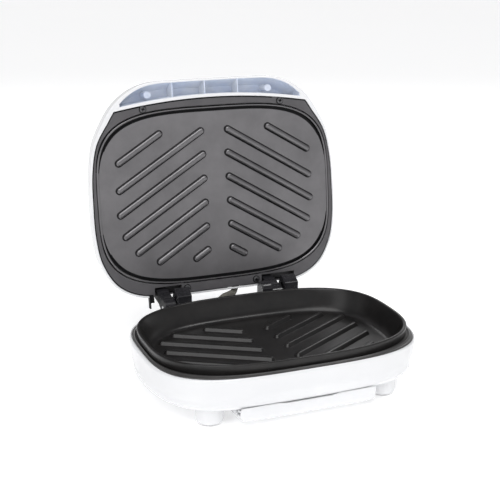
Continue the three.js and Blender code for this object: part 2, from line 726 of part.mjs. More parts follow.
function lidBezel() {
  const low = LID_PLANE;
  const high = LID_PLANE + BEZEL_THICKNESS;
  const sheet = loft([lidRing(BEZEL_OUTLINE, 0, low), lidRing(BEZEL_OUTLINE, 0, high)]).subtract(
    beyondArc(0, low - 2, high + 2));
  const opening = loft([squareRing(UPPER, -0.9, low - 3, UPPER.y), squareRing(UPPER, -0.9,
    high + 3, UPPER.y)]);
  let bezel = sheet.subtract(opening);
  for (const [x0, x1] of RECESSES) bezel = addRecess(bezel, x0, x1);
  for (const [x, y] of SCREW_SPOTS) bezel = bezel.subtract(upright(1.9, x, y, low - 3, high + 3));
  const rim = low + TAB.depth;
  return join(bezel, block(TAB.x0, TAB.x1, TAB.root, TAB.tip, low, rim),
    block(TAB.x1 - 0.5, TAB.stubX - 1, TAB.root, TAB.stubTip, low, rim));
}

// A five-sided pocket in the bezel's rear margin, open downwards and to the back.
function addRecess(bezel, x0, x1) {
  const roof = LID_PLANE + RECESS_DEPTH;
  const housing = block(x0 - RECESS_WALL, x1 + RECESS_WALL, RECESS_FRONT_Y - RECESS_WALL,
    RECESS_BACK_Y, LID_PLANE, roof);
  const room = block(x0, x1, RECESS_FRONT_Y, 4, LID_PLANE - 2, roof - RECESS_WALL);
  return bezel.add(housing).subtract(room);
}

function upperPlate() {
  const face = LID_PLANE;
  const lipFace = face - 0.8;
  const plate = loft([squareRing(UPPER, 0, lipFace, UPPER.y), squareRing(UPPER, 0, face + 4.4,
    UPPER.y)]);
  const lowered = loft([squareRing(UPPER, 1.6, lipFace - 1, UPPER.y), squareRing(UPPER, 1.6, face,
    UPPER.y)]);
  const grooveOut = loft([squareRing(UPPER, 1.6, face - 2, UPPER.y), squareRing(UPPER, 1.6,
    face + 1.2, UPPER.y)]);
  const grooveIn = loft([squareRing(UPPER, 3.2, face - 3, UPPER.y), squareRing(UPPER, 2.8,
    face + 2, UPPER.y)]);
  const ridges = ribs(UPPER_RIBS, UPPER.y, face + 1, face - RIB_HEIGHT);
  return join(cut(plate, lowered, grooveOut.subtract(grooveIn)), ...ridges);
}

function upperReflector() {
  let sheet = reflector(UPPER, 14, UPPER.y, LID_PLANE + 16, LID_PLANE + 11);
  for (const [x, y] of SCREW_SPOTS) sheet = sheet.subtract(upright(6, x, y, 20, 60));
  return sheet;
}

// The lid's knuckle: a barrel on the pin with an arm that reaches into the bezel's recess.
function armShape() {
  const shape = new THREE.Shape();
  const radius = KNUCKLE_RADIUS;
  shape.absarc(0, 0, radius, 0.9 * Math.PI, 2.06 * Math.PI, false);
  shape.lineTo(-1.5, LID_PLANE - 4);
  shape.lineTo(-5, LID_PLANE + RECESS_DEPTH - 1.8 - GAP);
  shape.lineTo(-14, LID_PLANE + RECESS_DEPTH - 1.8 - GAP);
  shape.lineTo(-14, LID_PLANE - 1);
  return shape;
}

function lidArm(x) {
  const barrel = sideSlab(armShape(), x - 11.6, x - 0.2, 10);
  return barrel.subtract(crossbar(PIN_RADIUS + GAP, x - 14, x + 2, 0, 0, 16));
}

function bezelScrew(x, y) {
  const head = upright(3, x, y, LID_PLANE - 1.5, LID_PLANE - GAP, 16);
  const shank = upright(1.5, x, y, LID_PLANE - 1, LID_PLANE + 11, 10);
  const cross = [[2, 0.4], [0.4, 2]].map(([dx, dy]) => block(x - dx, x + dx, y - dy, y + dy,
    LID_PLANE - 2, LID_PLANE - 0.9));
  return cut(head.add(shank), ...cross);
}

function lampLens() {
  const top = LID_PLANE + LID_HEIGHT;
  return turned([[0, top - 7], [4.1, top - 7], [4.1, top - 0.1], [3.2, top + 0.5], [0, top + 0.8]],
    LAMP.x, LAMP.y);
}

function pilotLamp() {
  const top = LID_PLANE + LID_HEIGHT - 7 - GAP;
  return join(upright(3, LAMP.x, LAMP.y, top - 9, top, 12),
    upright(4.4, LAMP.x, LAMP.y, top - 12, top - 8, 12));
}

// ---- wire sleeve --------------------------------------------------------------------

// A point given round the hinge axis in the closed attitude, as it lies with the lid open.
function whenOpen(x, y, z) {
  const angle = THREE.MathUtils.degToRad(-OPEN_ANGLE);
  return [x, HINGE_Y + y * Math.cos(angle) - z * Math.sin(angle),
    HINGE_Z + y * Math.sin(angle) + z * Math.cos(angle)];
}

function wireSleeve() {
  const { x, y } = SLEEVE_BASE;
  const { top } = SHELF;
  return tube([
    [x, y, top - 9],
    [x, y, top],
    [x + 0.6, y + 0.9, top + 5.5],
    [x + 4.5, y + 4.4, top + 9.4],
    [x + 11.5, y + 9.2, top + 11.2],
    [x + 18.4, y + 14, top + 11.2],
    [x + 24.4, y + 18.6, top + 11],
    whenOpen(SLEEVE_LID.x, -6.7, SLEEVE_LID.z),
    whenOpen(SLEEVE_LID.x + 2.2, -11.5, SLEEVE_LID.z + 0.2),
    whenOpen(SLEEVE_LID.x + 3, -14.2, SLEEVE_LID.z + 0.2),
  ], SLEEVE_RADIUS, 26, 10);
}

// ---- assembly -----------------------------------------------------------------------

function piece(group, name, solid, material) {
  const mesh = new THREE.Mesh(toGeometry(solid), material);
  mesh.name = name;
  group.add(mesh);
}

function buildBase() {
  const base = new THREE.Group();
  piece(base, 'base_shell', baseShell(), WHITE_PLASTIC);
  FOOT_SPOTS.forEach(([x, y], i) => piece(base, `foot_pad_${i + 1}`, footPad(x, y), RUBBER));
  piece(base, 'base_trim_ring', baseTrim(), BLACK_PLASTIC);
  piece(base, 'lower_grill_plate', lowerPlate(), DARK_NON_STICK);
  piece(base, 'lower_heating_rod', heatingRod(0, LOWER_ROD_Z), STEEL);
  piece(base, 'lower_reflector', baseReflector(), SHEET_STEEL);
  piece(base, 'thermostat', thermostat(), CERAMIC);
  piece(base, 'thermal_fuse', thermalFuse(), STEEL);
  piece(base, 'terminal_block', terminalBlock(), BAKELITE);
  PLATE_SCREW_SPOTS.forEach(([x, y], i) =>
    piece(base, `plate_screw_${i + 1}`, plateScrew(x, y), BLACK_SCREW));
  piece(base, 'cord_gland', cordGland(), BLACK_PLASTIC);
  piece(base, 'sleeve_grommet', baseGrommet(), BLACK_PLASTIC);
  piece(base, 'hinge_bracket_left', hingeBracket(HINGE_X[0], 0), BLACK_PLASTIC);
  piece(base, 'hinge_bracket_right', hingeBracket(HINGE_X[1], RIGHT_CHEEK), BLACK_PLASTIC);
  return base;
}

function buildPins() {
  const pins = new THREE.Group();
  piece(pins, 'hinge_pin_left', hingePin(HINGE_X[0], 12), STEEL);
  piece(pins, 'hinge_pin_right', hingePin(HINGE_X[1], 17), STEEL);
  return pins;
}

function buildLid() {
  const lid = new THREE.Group();
  piece(lid, 'lid_shell', lidShell(), WHITE_PLASTIC);
  piece(lid, 'lid_bezel', lidBezel(), BEZEL_PLASTIC);
  piece(lid, 'upper_grill_plate', upperPlate(), NON_STICK);
  piece(lid, 'upper_heating_rod', heatingRod(UPPER.y, LID_PLANE + UPPER_ROD_DEPTH), STEEL);
  piece(lid, 'upper_reflector', upperReflector(), SHEET_STEEL);
  ['left', 'right'].forEach((side, i) =>
    piece(lid, `lid_hinge_arm_${side}`, lidArm(HINGE_X[i]), BLACK_PLASTIC));
  SCREW_SPOTS.forEach(([x, y], i) =>
    piece(lid, `bezel_screw_${i + 1}`, bezelScrew(x, y), BLACK_SCREW));
  piece(lid, 'lamp_lens', lampLens(), LAMP_LENS);
  piece(lid, 'pilot_lamp', pilotLamp(), CERAMIC);
  lid.position.set(0, HINGE_Y, HINGE_Z);
  lid.rotation.x = THREE.MathUtils.degToRad(-OPEN_ANGLE);
  return lid;
}

const grill = new THREE.Group();
grill.position.y = FOOTPRINT_SHIFT;
grill.add(buildBase(), buildPins(), buildLid());
const tray = new THREE.Group();
piece(tray, 'drip_tray', dripTray(), WHITE_PLASTIC);
grill.add(tray);
const sleeve = new THREE.Group();
piece(sleeve, 'wire_sleeve', wireSleeve(), FIBREGLASS);
grill.add(sleeve);

export default grill;
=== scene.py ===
"""The looks of an open contact grill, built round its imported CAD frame.

Lengths are in mm, and a finished piece is put in place in metres.
"""
import bpy
import bmesh
import json
import math
from mathutils import Euler, Matrix, Vector


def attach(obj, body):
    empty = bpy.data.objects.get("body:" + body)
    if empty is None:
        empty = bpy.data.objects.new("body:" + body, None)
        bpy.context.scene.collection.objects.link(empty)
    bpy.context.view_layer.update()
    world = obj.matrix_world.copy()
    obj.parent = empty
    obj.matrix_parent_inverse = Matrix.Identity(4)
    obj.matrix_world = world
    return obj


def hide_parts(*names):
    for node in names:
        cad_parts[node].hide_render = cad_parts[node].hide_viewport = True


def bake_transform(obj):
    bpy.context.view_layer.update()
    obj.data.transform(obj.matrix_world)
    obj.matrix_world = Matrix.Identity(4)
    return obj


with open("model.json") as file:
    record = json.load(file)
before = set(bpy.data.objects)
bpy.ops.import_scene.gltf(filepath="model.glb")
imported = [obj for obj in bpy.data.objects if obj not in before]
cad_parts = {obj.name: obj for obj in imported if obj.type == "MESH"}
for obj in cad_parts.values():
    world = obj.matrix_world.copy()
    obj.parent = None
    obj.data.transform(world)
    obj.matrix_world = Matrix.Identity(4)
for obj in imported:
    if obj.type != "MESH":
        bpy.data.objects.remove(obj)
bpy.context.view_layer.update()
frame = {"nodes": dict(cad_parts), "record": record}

MM = 0.001
JOINTS = {joint["name"]: joint for joint in frame["record"]["behaviour"]["joints"]}
HINGE_Y = JOINTS["lid_hinge"]["pos_m"][1] / MM
HINGE_Z = JOINTS["lid_hinge"]["pos_m"][2] / MM
OPEN = math.radians(JOINTS["lid_hinge"]["range_deg"][1])
HINGE_RUN = 105.5                   # from the base's centre line back to the hinge axis
BASE_Y = HINGE_Y - HINGE_RUN        # that centre line, in the frame
HINGE_X = (-56.5, 54.6)
RIB_SLOPE = math.radians(31.2)
RIB_END = 2.8                       # from a rib's stated end to the centre of its round
COUNT = 168                         # points round each large outline

# An outline has a half width, a half depth and a squareness, and its ends' squareness where that differs.
# A row of ribs has the inner end's x and y and the outer end's x, and stands for a mirrored pair.

# the base: y from its centre line, z from the ground
BASE = (123.0, 88.2, 3.2)
BASE_LOW = (122.7, 84.5, 5.0, 2.2)
LEDGE = (120.0, 85.35, 3.45)
RIM = (117.8, 82.2, 2.93)
FLOOR, BASE_TOP = 14.5, 46.2        # the base shell's underside and its upper edge
SEAT = 42.5                         # the step in the shell that carries the ledge ring
WELL, RIM_TOP = 33.5, 55.3          # the lower plate's cooking face and its rim
WALL = 2.4
SHELF_HALF, SHELF_FRONT, SHELF_BACK = 82, 70, 119.0
SHELF_TOP, SHELF_CORNER = 29.5, 14
FEET = ((-80.2, -58), (80.2, -58), (-66, 98), (66, 98))
PLATE_SCREWS = ((-60, -36), (60, -36), (-60, 36), (60, 36))
SLEEVE_X, SLEEVE_Y = -12, HINGE_RUN + 4.5
INLET_X, INLET_Z = 44, 22
LOWER_RIBS = [
    (34, -59.5, 87), (10.2, -52.5, 94), (10.2, -29.1, 94), (10.2, -5.7, 92), (10.2, 17.7, 76),
    (10.2, 41.1, 44)]
TRAY_HALF, TRAY_FRONT, TRAY_BACK = 57.8, -82.2, -14
RAIL_FRONT, RAIL_BACK, RAIL_FOOT = -72, -10, 10

# the lid: y and z from the hinge axis, with the lid shut
UPPER = (119.1, 84.35, 3.64)
UPPER_Y = -102.5
PLANE = 18.8                        # the face of the bezel and of the upper plate
LID_MID = -101.0
LID_TOP = PLANE + 40
LID_OUTLINE = [
    (0, -213.5), (34, -213.4), (63, -212.4), (81, -206.6), (98, -194), (109.5, -178), (119.4, -157.5),
    (124, -132), (125.5, -101), (125, -70), (120.4, -44.5), (107, -21.5), (86, -9.2), (50, -6), (0, -5.5)]
BEZEL_OUTLINE = [
    (0, -211.5), (34, -211.4), (62, -210), (79, -204), (94, -192), (104.6, -177), (116.2, -158),
    (122, -132), (123.5, -101), (123, -70), (118.5, -45.4), (105.5, -23.1), (85, -11.2), (50, -8),
    (0, -7.5)]
BEZEL_FRONT, BEZEL_RADIUS = -195.8, 559.0   # the bezel's bowed front edge, in front of the plate
UPPER_RIBS = [
    (53, -61.5, 99.6), (11, -61.5, 100.5), (10.2, -39, 101), (10.2, -15.6, 97.2), (10.2, 7.8, 85.7),
    (10.2, 31.2, 65), (10.2, 54.6, 27.9)]
RECESSES = ((-69.5, -42.0), (42.2, 78.0))
SCREWS = ((-70, -188), (70, -188), (-36.3, -12.4), (36.3, -12.4))
PILOT = 1.9                         # radius of the holes that the screws cut their threads in
LAMP_X, LAMP_Y = 0, -152


# ---- materials -----------------------------------------------------------------------

def surface(name, dark, light, rough, spread=0.05, metallic=0.0, patch=24.0, grain=0.5, bump=0.02,
            coat=0.0, scratch=0.0, gleam=0.5):
    """A procedural finish: soft colour patches, varied roughness, and fine grain or drawn scratches.

    patch, grain and scratch are sizes and bump is a depth, all in mm.
    """
    made = bpy.data.materials.new(name)
    made.use_nodes = True
    nodes, link = made.node_tree.nodes, made.node_tree.links.new
    shader = nodes["Principled BSDF"]
    shader.inputs["Metallic"].default_value = metallic
    shader.inputs["Coat Weight"].default_value = coat
    shader.inputs["Specular IOR Level"].default_value = gleam
    shader.inputs["Coat Roughness"].default_value = 0.12
    where = nodes.new("ShaderNodeTexCoord")

    def noise(size_mm, detail, roughness=0.5):
        texture = nodes.new("ShaderNodeTexNoise")
        texture.inputs["Scale"].default_value = 1 / (size_mm * MM)
        texture.inputs["Detail"].default_value = detail
        texture.inputs["Roughness"].default_value = roughness
        link(where.outputs["Object"], texture.inputs["Vector"])
        return texture.outputs["Fac"]

    ramp = nodes.new("ShaderNodeValToRGB")
    ramp.color_ramp.elements[0].position, ramp.color_ramp.elements[1].position = 0.34, 0.68
    ramp.color_ramp.elements[0].color = (*dark, 1)
    ramp.color_ramp.elements[1].color = (*light, 1)
    link(noise(patch, 4, 0.6), ramp.inputs["Fac"])
    link(ramp.outputs["Color"], shader.inputs["Base Color"])
    shine = nodes.new("ShaderNodeMapRange")
    shine.inputs["To Min"].default_value = max(rough - spread, 0.03)
    shine.inputs["To Max"].default_value = rough + spread
    link(noise(patch / 5, 5, 0.65), shine.inputs["Value"])
    link(shine.outputs["Result"], shader.inputs["Roughness"])
    relief = nodes.new("ShaderNodeBump")
    relief.inputs["Strength"].default_value = 0.6
    relief.inputs["Distance"].default_value = bump * MM
    height = noise(grain, 2)
    if scratch:
        stretched = nodes.new("ShaderNodeMapping")
        stretched.inputs["Scale"].default_value = (1, 0.04, 0.04)
        link(where.outputs["Object"], stretched.inputs["Vector"])
        lines = nodes.new("ShaderNodeTexNoise")
        lines.inputs["Scale"].default_value = 1 / (scratch * MM)
        lines.inputs["Detail"].default_value = 3
        link(stretched.outputs["Vector"], lines.inputs["Vector"])
        height = lines.outputs["Fac"]
    link(height, relief.inputs["Height"])
    link(relief.outputs["Normal"], shader.inputs["Normal"])
    return made


def braid(name):
    """A woven sleeve: two sets of threads that cross on the tube's own coordinates."""
    made = bpy.data.materials.new(name)
    made.use_nodes = True
    nodes, link = made.node_tree.nodes, made.node_tree.links.new
    shader = nodes["Principled BSDF"]
    shader.inputs["Roughness"].default_value = 0.75
    where = nodes.new("ShaderNodeTexCoord")
    heights = []
    for turn in (math.radians(45), math.radians(-45)):
        mapping = nodes.new("ShaderNodeMapping")
        mapping.inputs["Rotation"].default_value = (0, 0, turn)
        link(where.outputs["UV"], mapping.inputs["Vector"])
        wave = nodes.new("ShaderNodeTexWave")
        wave.inputs["Scale"].default_value = 5.2
        wave.inputs["Distortion"].default_value = 0.6
        link(mapping.outputs["Vector"], wave.inputs["Vector"])
        heights.append(wave.outputs["Fac"])
    top = nodes.new("ShaderNodeMath")
    top.operation = "MAXIMUM"
    link(heights[0], top.inputs[0])
    link(heights[1], top.inputs[1])
    ramp = nodes.new("ShaderNodeValToRGB")
    ramp.color_ramp.elements[0].position = 0.25
    ramp.color_ramp.elements[0].color = (0.035, 0.033, 0.026, 1)
    ramp.color_ramp.elements[1].position = 0.95
    ramp.color_ramp.elements[1].color = (0.21, 0.20, 0.17, 1)
    link(top.outputs["Value"], ramp.inputs["Fac"])
    link(ramp.outputs["Color"], shader.inputs["Base Color"])
    relief = nodes.new("ShaderNodeBump")
    relief.inputs["Strength"].default_value = 0.9
    relief.inputs["Distance"].default_value = 0.3 * MM
    link(top.outputs["Value"], relief.inputs["Height"])
    link(relief.outputs["Normal"], shader.inputs["Normal"])
    return made


WHITE = surface("white_plastic", (0.80, 0.805, 0.82), (0.83, 0.835, 0.845), 0.24, 0.05,
                patch=60, grain=1.6, bump=0.006, coat=0.2)
# painted shade and light: the pocket's inside is the shell's white plastic, painted a blue-grey shade, with a
# lighter painted-light copy for its ribs and front wall
POCKET_PAINTED_SHADE = surface("pocket_painted_shade", (0.74, 0.81, 0.96), (0.86, 0.90, 0.98), 0.3, 0.06,
                       patch=20, grain=0.8, bump=0.01)
POCKET_PAINTED_LIGHT = surface("pocket_painted_light", (0.86, 0.89, 0.94), (0.92, 0.94, 0.97), 0.3, 0.06,
                     patch=10, grain=0.8, bump=0.01)
BLACK = surface("black_plastic", (0.012, 0.012, 0.014), (0.020, 0.019, 0.022), 0.30, 0.07,
                patch=14, grain=0.35, bump=0.018)
# painted shade: a near-black put on grooves, recesses, a sunken step and a shaded side, where shade falls
PAINTED_SHADE_BLACK = surface("painted_shade_black", (0.005, 0.005, 0.006), (0.010, 0.010, 0.011), 0.5, 0.07,
                       patch=14, grain=0.35, bump=0.018, gleam=0.2)
HINGE_BLACK = surface("hinge_black", (0.012, 0.012, 0.014), (0.020, 0.019, 0.022), 0.24, 0.06,
                      patch=9, grain=0.35, bump=0.014, gleam=0.45)
LEDGE_BLACK = surface("ledge_black", (0.048, 0.047, 0.047), (0.066, 0.064, 0.063), 0.34, 0.06,
                      patch=14, grain=0.35, bump=0.018)
BEZEL = surface("bezel_plastic", (0.080, 0.077, 0.082), (0.100, 0.097, 0.102), 0.42, 0.06,
                patch=26, grain=0.32, bump=0.022, gleam=0.4)
GREY_PLATE = surface("grey_non_stick", (0.172, 0.168, 0.174), (0.208, 0.203, 0.210), 0.38, 0.05,
                     metallic=0.9, patch=26, grain=0.6, bump=0.014)
# painted shade: a dark copy of the grey non-stick for the ribs' flanks, which the same coating covers
GREY_PLATE_PAINTED_SHADE = surface("grey_non_stick_painted_shade", (0.010, 0.010, 0.011), (0.020, 0.019, 0.020), 0.42, 0.06,
                     metallic=0.3, patch=10, grain=0.6, bump=0.014, gleam=0.35)
DARK_PLATE = surface("dark_non_stick", (0.010, 0.0095, 0.0095), (0.018, 0.0165, 0.016), 0.30, 0.06,
                     metallic=0.1, patch=18, grain=0.5, bump=0.014, gleam=0.42)
STEEL = surface("steel", (0.42, 0.42, 0.43), (0.56, 0.56, 0.57), 0.32, 0.08,
                metallic=1.0, patch=8, scratch=0.25, bump=0.02)
SHEET = surface("sheet_steel", (0.55, 0.56, 0.57), (0.66, 0.665, 0.67), 0.36, 0.08,
                metallic=1.0, patch=18, scratch=0.3, bump=0.015)
SCREW = surface("black_screw", (0.10, 0.10, 0.105), (0.15, 0.15, 0.155), 0.34, 0.08,
                metallic=0.85, patch=3, grain=0.3, bump=0.02)
RUBBER = surface("rubber", (0.018, 0.018, 0.018), (0.030, 0.030, 0.030), 0.8, 0.08,
                 patch=6, grain=0.4, bump=0.05)
BAKELITE = surface("bakelite", (0.045, 0.030, 0.020), (0.075, 0.050, 0.034), 0.45, 0.08,
                   patch=5, grain=0.3, bump=0.02)
CERAMIC = surface("ceramic", (0.70, 0.66, 0.58), (0.78, 0.75, 0.68), 0.55, 0.08,
                  patch=6, grain=0.4, bump=0.03)
LENS = surface("lamp_lens", (0.40, 0.020, 0.012), (0.52, 0.035, 0.020), 0.12, 0.03,
               patch=4, grain=0.8, bump=0.01, coat=0.6)
BRAID = braid("fibreglass")


# ---- mesh helpers --------------------------------------------------------------------

def on_base(p):
    """A point of the base, in the frame and in metres."""
    return (p[0] * MM, (p[1] + BASE_Y) * MM, p[2] * MM)


def on_lid(p):
    """A point of the shut lid, opened about the hinge axis, in the frame and in metres."""
    c, s = math.cos(-OPEN), math.sin(-OPEN)
    return (p[0] * MM, (HINGE_Y + p[1] * c - p[2] * s) * MM, (HINGE_Z + p[1] * s + p[2] * c) * MM)


def solid(shape):
    """A scratch object from (points, faces), with its faces turned outwards."""
    points, faces = shape
    mesh = bpy.data.meshes.new("work")
    mesh.from_pydata([tuple(p) for p in points], [], faces)
    work = bmesh.new()
    work.from_mesh(mesh)
    bmesh.ops.recalc_face_normals(work, faces=work.faces)
    work.to_mesh(mesh)
    work.free()
    made = bpy.data.objects.new("work", mesh)
    bpy.context.scene.collection.objects.link(made)
    return made


def settle(thing):
    """Applies an object's modifiers."""
    depsgraph = bpy.context.evaluated_depsgraph_get()
    mesh = bpy.data.meshes.new_from_object(thing.evaluated_get(depsgraph))
    thing.modifiers.clear()
    thing.data = mesh
    return thing


def combine(first, operation, *tools):
    """Applies a boolean with each tool in turn, and deletes the tools."""
    for tool in tools:
        step = first.modifiers.new("combine", "BOOLEAN")
        step.operation = operation
        step.solver = "MANIFOLD"
        step.object = tool
        settle(first)
        bpy.data.objects.remove(tool)
    return first


def cut(first, *tools):
    return combine(first, "DIFFERENCE", *tools)


def join(first, *tools):
    return combine(first, "UNION", *tools)


def meet(first, *tools):
    return combine(first, "INTERSECT", *tools)


def rounded(thing, width, segments=3, angle=40):
    """Rounds an object's edges."""
    step = thing.modifiers.new("round", "BEVEL")
    step.width = width
    step.segments = segments
    step.limit_method = "ANGLE"
    step.angle_limit = math.radians(angle)
    step.harden_normals = False
    return settle(thing)


def lofted(rings):
    """A closed skin over rings that all have the same number of points."""
    count = len(rings[0])
    points = [p for ring in rings for p in ring]
    faces = [tuple(reversed(range(count)))]
    for level in range(len(rings) - 1):
        start = level * count
        for i in range(count):
            j = (i + 1) % count
            faces.append((start + i, start + j, start + count + j, start + count + i))
    last = (len(rings) - 1) * count
    faces.append(tuple(range(last, last + count)))
    return points, faces


def spline(a, b, c, d, t):
    """The value at t on the smooth curve from b to c, for numbers or vectors."""
    return 0.5 * (2 * b + (c - a) * t + (2 * a - 5 * b + 4 * c - d) * t * t
                  + (3 * b - a - 3 * c + d) * t ** 3)


def smooth(rings, steps=4):
    """Extra rings on a smooth curve through the given ones."""
    made = []
    for k in range(len(rings) - 1):
        before, start = rings[max(k - 1, 0)], rings[k]
        end, after = rings[k + 1], rings[min(k + 2, len(rings) - 1)]
        for step in range(steps):
            made.append([tuple(spline(a[i], b[i], c[i], d[i], step / steps) for i in range(3))
                         for a, b, c, d in zip(before, start, end, after)])
    return made + [list(rings[-1])]


def circle(radius, count):
    """Points round a circle about the origin."""
    turns = [i / count * math.tau for i in range(count)]
    return [(radius * math.cos(turn), radius * math.sin(turn)) for turn in turns]


def square_ring(outline, inset, z, centre=0.0):
    """A rounded rectangle without straight sides, drawn in by an inset."""
    a, b, n = outline[:3]
    m = outline[3] if len(outline) > 3 else n
    ring = []
    for c, s in circle(1, COUNT):
        ring.append((math.copysign(abs(c) ** (2 / n), c) * (a - inset),
                     centre + math.copysign(abs(s) ** (2 / m), s) * (b - inset), z))
    return ring


def square_rings(outline, *levels):
    """Rings of one outline, from [inset, z] pairs."""
    return [square_ring(outline, inset, z) for inset, z in levels]


def mixed_ring(first, second, share):
    """A ring part of the way from one ring to another."""
    return [tuple(p[i] + (q[i] - p[i]) * share for i in range(3)) for p, q in zip(first, second)]


def closed_line(half):
    """A smooth closed line through half an outline and its mirror image, on a centripetal curve."""
    points = [Vector(p) for p in half] + [Vector((-x, y)) for x, y in half[-2:0:-1]]
    total = len(points)
    line = []
    for i in range(COUNT):
        at = i / COUNT * total
        k, t = int(at), at - int(at)
        a, b, c, d = [points[(k + shift) % total] for shift in (-1, 0, 1, 2)]
        ab, bc, cd = [max((q - p).length ** 0.5, 1e-4) for p, q in ((a, b), (b, c), (c, d))]
        start = ((b - a) / ab - (c - a) / (ab + bc) + (c - b) / bc) * bc
        end = ((c - b) / bc - (d - b) / (bc + cd) + (d - c) / cd) * bc
        line.append(b + start * t + (-3 * b + 3 * c - 2 * start - end) * t * t
                    + (2 * b - 2 * c + start + end) * t ** 3)
    return line


LINES = {"shell": closed_line(LID_OUTLINE), "bezel": closed_line(BEZEL_OUTLINE)}


def lid_ring(which, inset, z):
    """The lid's or the bezel's outline, drawn in towards the lid's middle by an inset."""
    line = LINES[which]
    widest = max(p.x for p in line)
    front, back = LID_MID - min(p.y for p in line), max(p.y for p in line) - LID_MID
    ring = []
    for p in line:
        reach = front if p.y < LID_MID else back
        ring.append((p.x * (1 - inset / widest), LID_MID + (p.y - LID_MID) * (1 - inset / reach), z))
    return ring


def lid_rings(which, *levels):
    """Rings of one of those outlines, from [inset, z] pairs."""
    return [lid_ring(which, inset, z) for inset, z in levels]


def box(x0, x1, y0, y1, z0, z1):
    return upright_slab([(x0, y0), (x1, y0), (x1, y1), (x0, y1)], z0, z1)


def bar_ring(x0, x1, y0, y1, radius, z, corner=8):
    """A rectangle with round corners, each of which has a number of steps."""
    ring = []
    for cx, cy, start in ((x1 - radius, y0 + radius, -90), (x1 - radius, y1 - radius, 0),
                          (x0 + radius, y1 - radius, 90), (x0 + radius, y0 + radius, 180)):
        for i in range(corner + 1):
            angle = math.radians(start + 90 * i / corner)
            ring.append((cx + radius * math.cos(angle), cy + radius * math.sin(angle), z))
    return ring


def arc(cx, cy, radius, start, end, count=12):
    """Points on an arc, from one angle in degrees to another."""
    turns = [math.radians(start + (end - start) * i / count) for i in range(count + 1)]
    return [(cx + radius * math.cos(turn), cy + radius * math.sin(turn)) for turn in turns]


def turned(profile, x, y, count=40):
    """A body of revolution about an upright axis, from [radius, height] pairs going upwards."""
    return lofted([[(x + a, y + b, z) for a, b in circle(r, count)] for r, z in profile])


def crossbar(profile, y, z, count=36):
    """A body of revolution about an axis along X, from [radius, x] pairs."""
    return lofted([[(x, y + a, z + b) for a, b in circle(r, count)] for r, x in profile])


def lengthwise(profile, x, z, count=36):
    """A body of revolution about an axis along Y, from [radius, y] pairs."""
    return lofted([[(x + a, y, z + b) for a, b in circle(r, count)] for r, y in profile])


def side_slab(outline, x0, x1):
    """A flat outline in Y and Z, running from x0 to x1."""
    return lofted([[(x, y, z) for y, z in outline] for x in (x0, x1)])


def upright_slab(outline, z0, z1):
    """A flat outline in X and Y, running from z0 to z1."""
    return lofted([[(x, y, z) for x, y in outline] for z in (z0, z1)])


def rib(side, row, centre, levels, count=10):
    """One rib with half-round ends, from [half width, z] pairs."""
    inner_x, inner_y, outer_x = row
    start = inner_x + RIB_END
    run = outer_x - RIB_END - start
    heading = math.atan2(math.tan(RIB_SLOPE), side)
    tips = ((side * (start + run), centre + inner_y + run * math.tan(RIB_SLOPE), -0.5),
            (side * start, centre + inner_y, 0.5))
    rings = []
    for radius, z in levels:
        ring = []
        for x, y, turn in tips:
            for i in range(count + 1):
                angle = heading + (turn + i / count) * math.pi
                ring.append((x + radius * math.cos(angle), y + radius * math.sin(angle), z))
        rings.append(ring)
    return rings


def ribs(table, centre, root, up):
    """All ribs of a plate, softly rounded, rising from root by 3 mm in the direction up."""
    profile = [(3.7, -1.0), (3.85, 0.0), (3.7, 0.2), (2.5, 1.98), (2.15, 2.4), (1.65, 2.75), (1.0, 2.95),
               (0.3, 3.0)]
    levels = [(half, root + up * height) for half, height in profile]
    return [lofted(rib(side, row, centre, levels)) for row in table for side in (-1, 1)]


def merged(shapes):
    """Several shapes as one, left loose."""
    points, faces = [], []
    for more_points, more_faces in shapes:
        start = len(points)
        points += more_points
        faces += [tuple(start + i for i in face) for face in more_faces]
    return points, faces


def add(thing, *shapes):
    """Puts more shapes into an object's mesh without a boolean."""
    extra = solid(merged(shapes))
    work = bmesh.new()
    work.from_mesh(thing.data)
    work.from_mesh(extra.data)
    work.to_mesh(thing.data)
    work.free()
    bpy.data.objects.remove(extra)
    return thing


def paint(thing, finishes, choose):
    """Gives each face the finish whose number choose returns for it."""
    thing.data.materials.clear()
    for finish in finishes:
        thing.data.materials.append(finish)
    for face in thing.data.polygons:
        face.material_index = choose(face)


def piece(thing, name, place, finish, body, nodes, sharp=34, extra=()):
    """Names a finished object, puts it in place in metres and ties it to its CAD body.

    Faces painted with an extra finish, painted shade and painted light among them, keep it. Without a body,
    the object is left to be blended.
    """
    thing.name = name
    thing.data.name = name
    for vertex in thing.data.vertices:
        vertex.co = place(vertex.co)
    painted = [min(face.material_index, len(extra)) for face in thing.data.polygons]
    paint(thing, (finish, *extra), lambda face: painted[face.index])
    thing.data.shade_smooth()
    thing.data.set_sharp_from_angle(angle=math.radians(sharp))
    even = thing.modifiers.new("even_shading", "WEIGHTED_NORMAL")
    even.keep_sharp = True
    if body:
        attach(thing, body)
    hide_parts(*nodes)
    return thing


# ---- base ----------------------------------------------------------------------------

def shelf():
    """The rear shelf that carries the hinges, with rounded edges above and below."""
    def ring(inset, z):
        return bar_ring(-SHELF_HALF + inset, SHELF_HALF - inset, SHELF_FRONT, SHELF_BACK - inset,
                        SHELF_CORNER - inset, z, 12)

    below = [ring(inset, FLOOR + up) for inset, up in ((6, 0), (2.5, 0.5), (0.8, 1.8), (0, 4))]
    above = [ring(inset, SHELF_TOP - down) for inset, down in ((0, 2), (0.5, 0.7), (1.8, 0))]
    return lofted(below + above)


def tray_rails():
    """A stop behind the tray, and on each side a wall with a ledge under the tray's flange."""
    rails = [box(-50, 50, RAIL_BACK - 2, RAIL_BACK, 10.5, FLOOR + 1)]
    for side in (-1, 1):
        for near, far, top in ((61.6, 64, FLOOR + 1), (58.4, 63, 11.8)):
            rails.append(box(*sorted((side * near, side * far)), RAIL_FRONT, RAIL_BACK, RAIL_FOOT, top))
    return rails


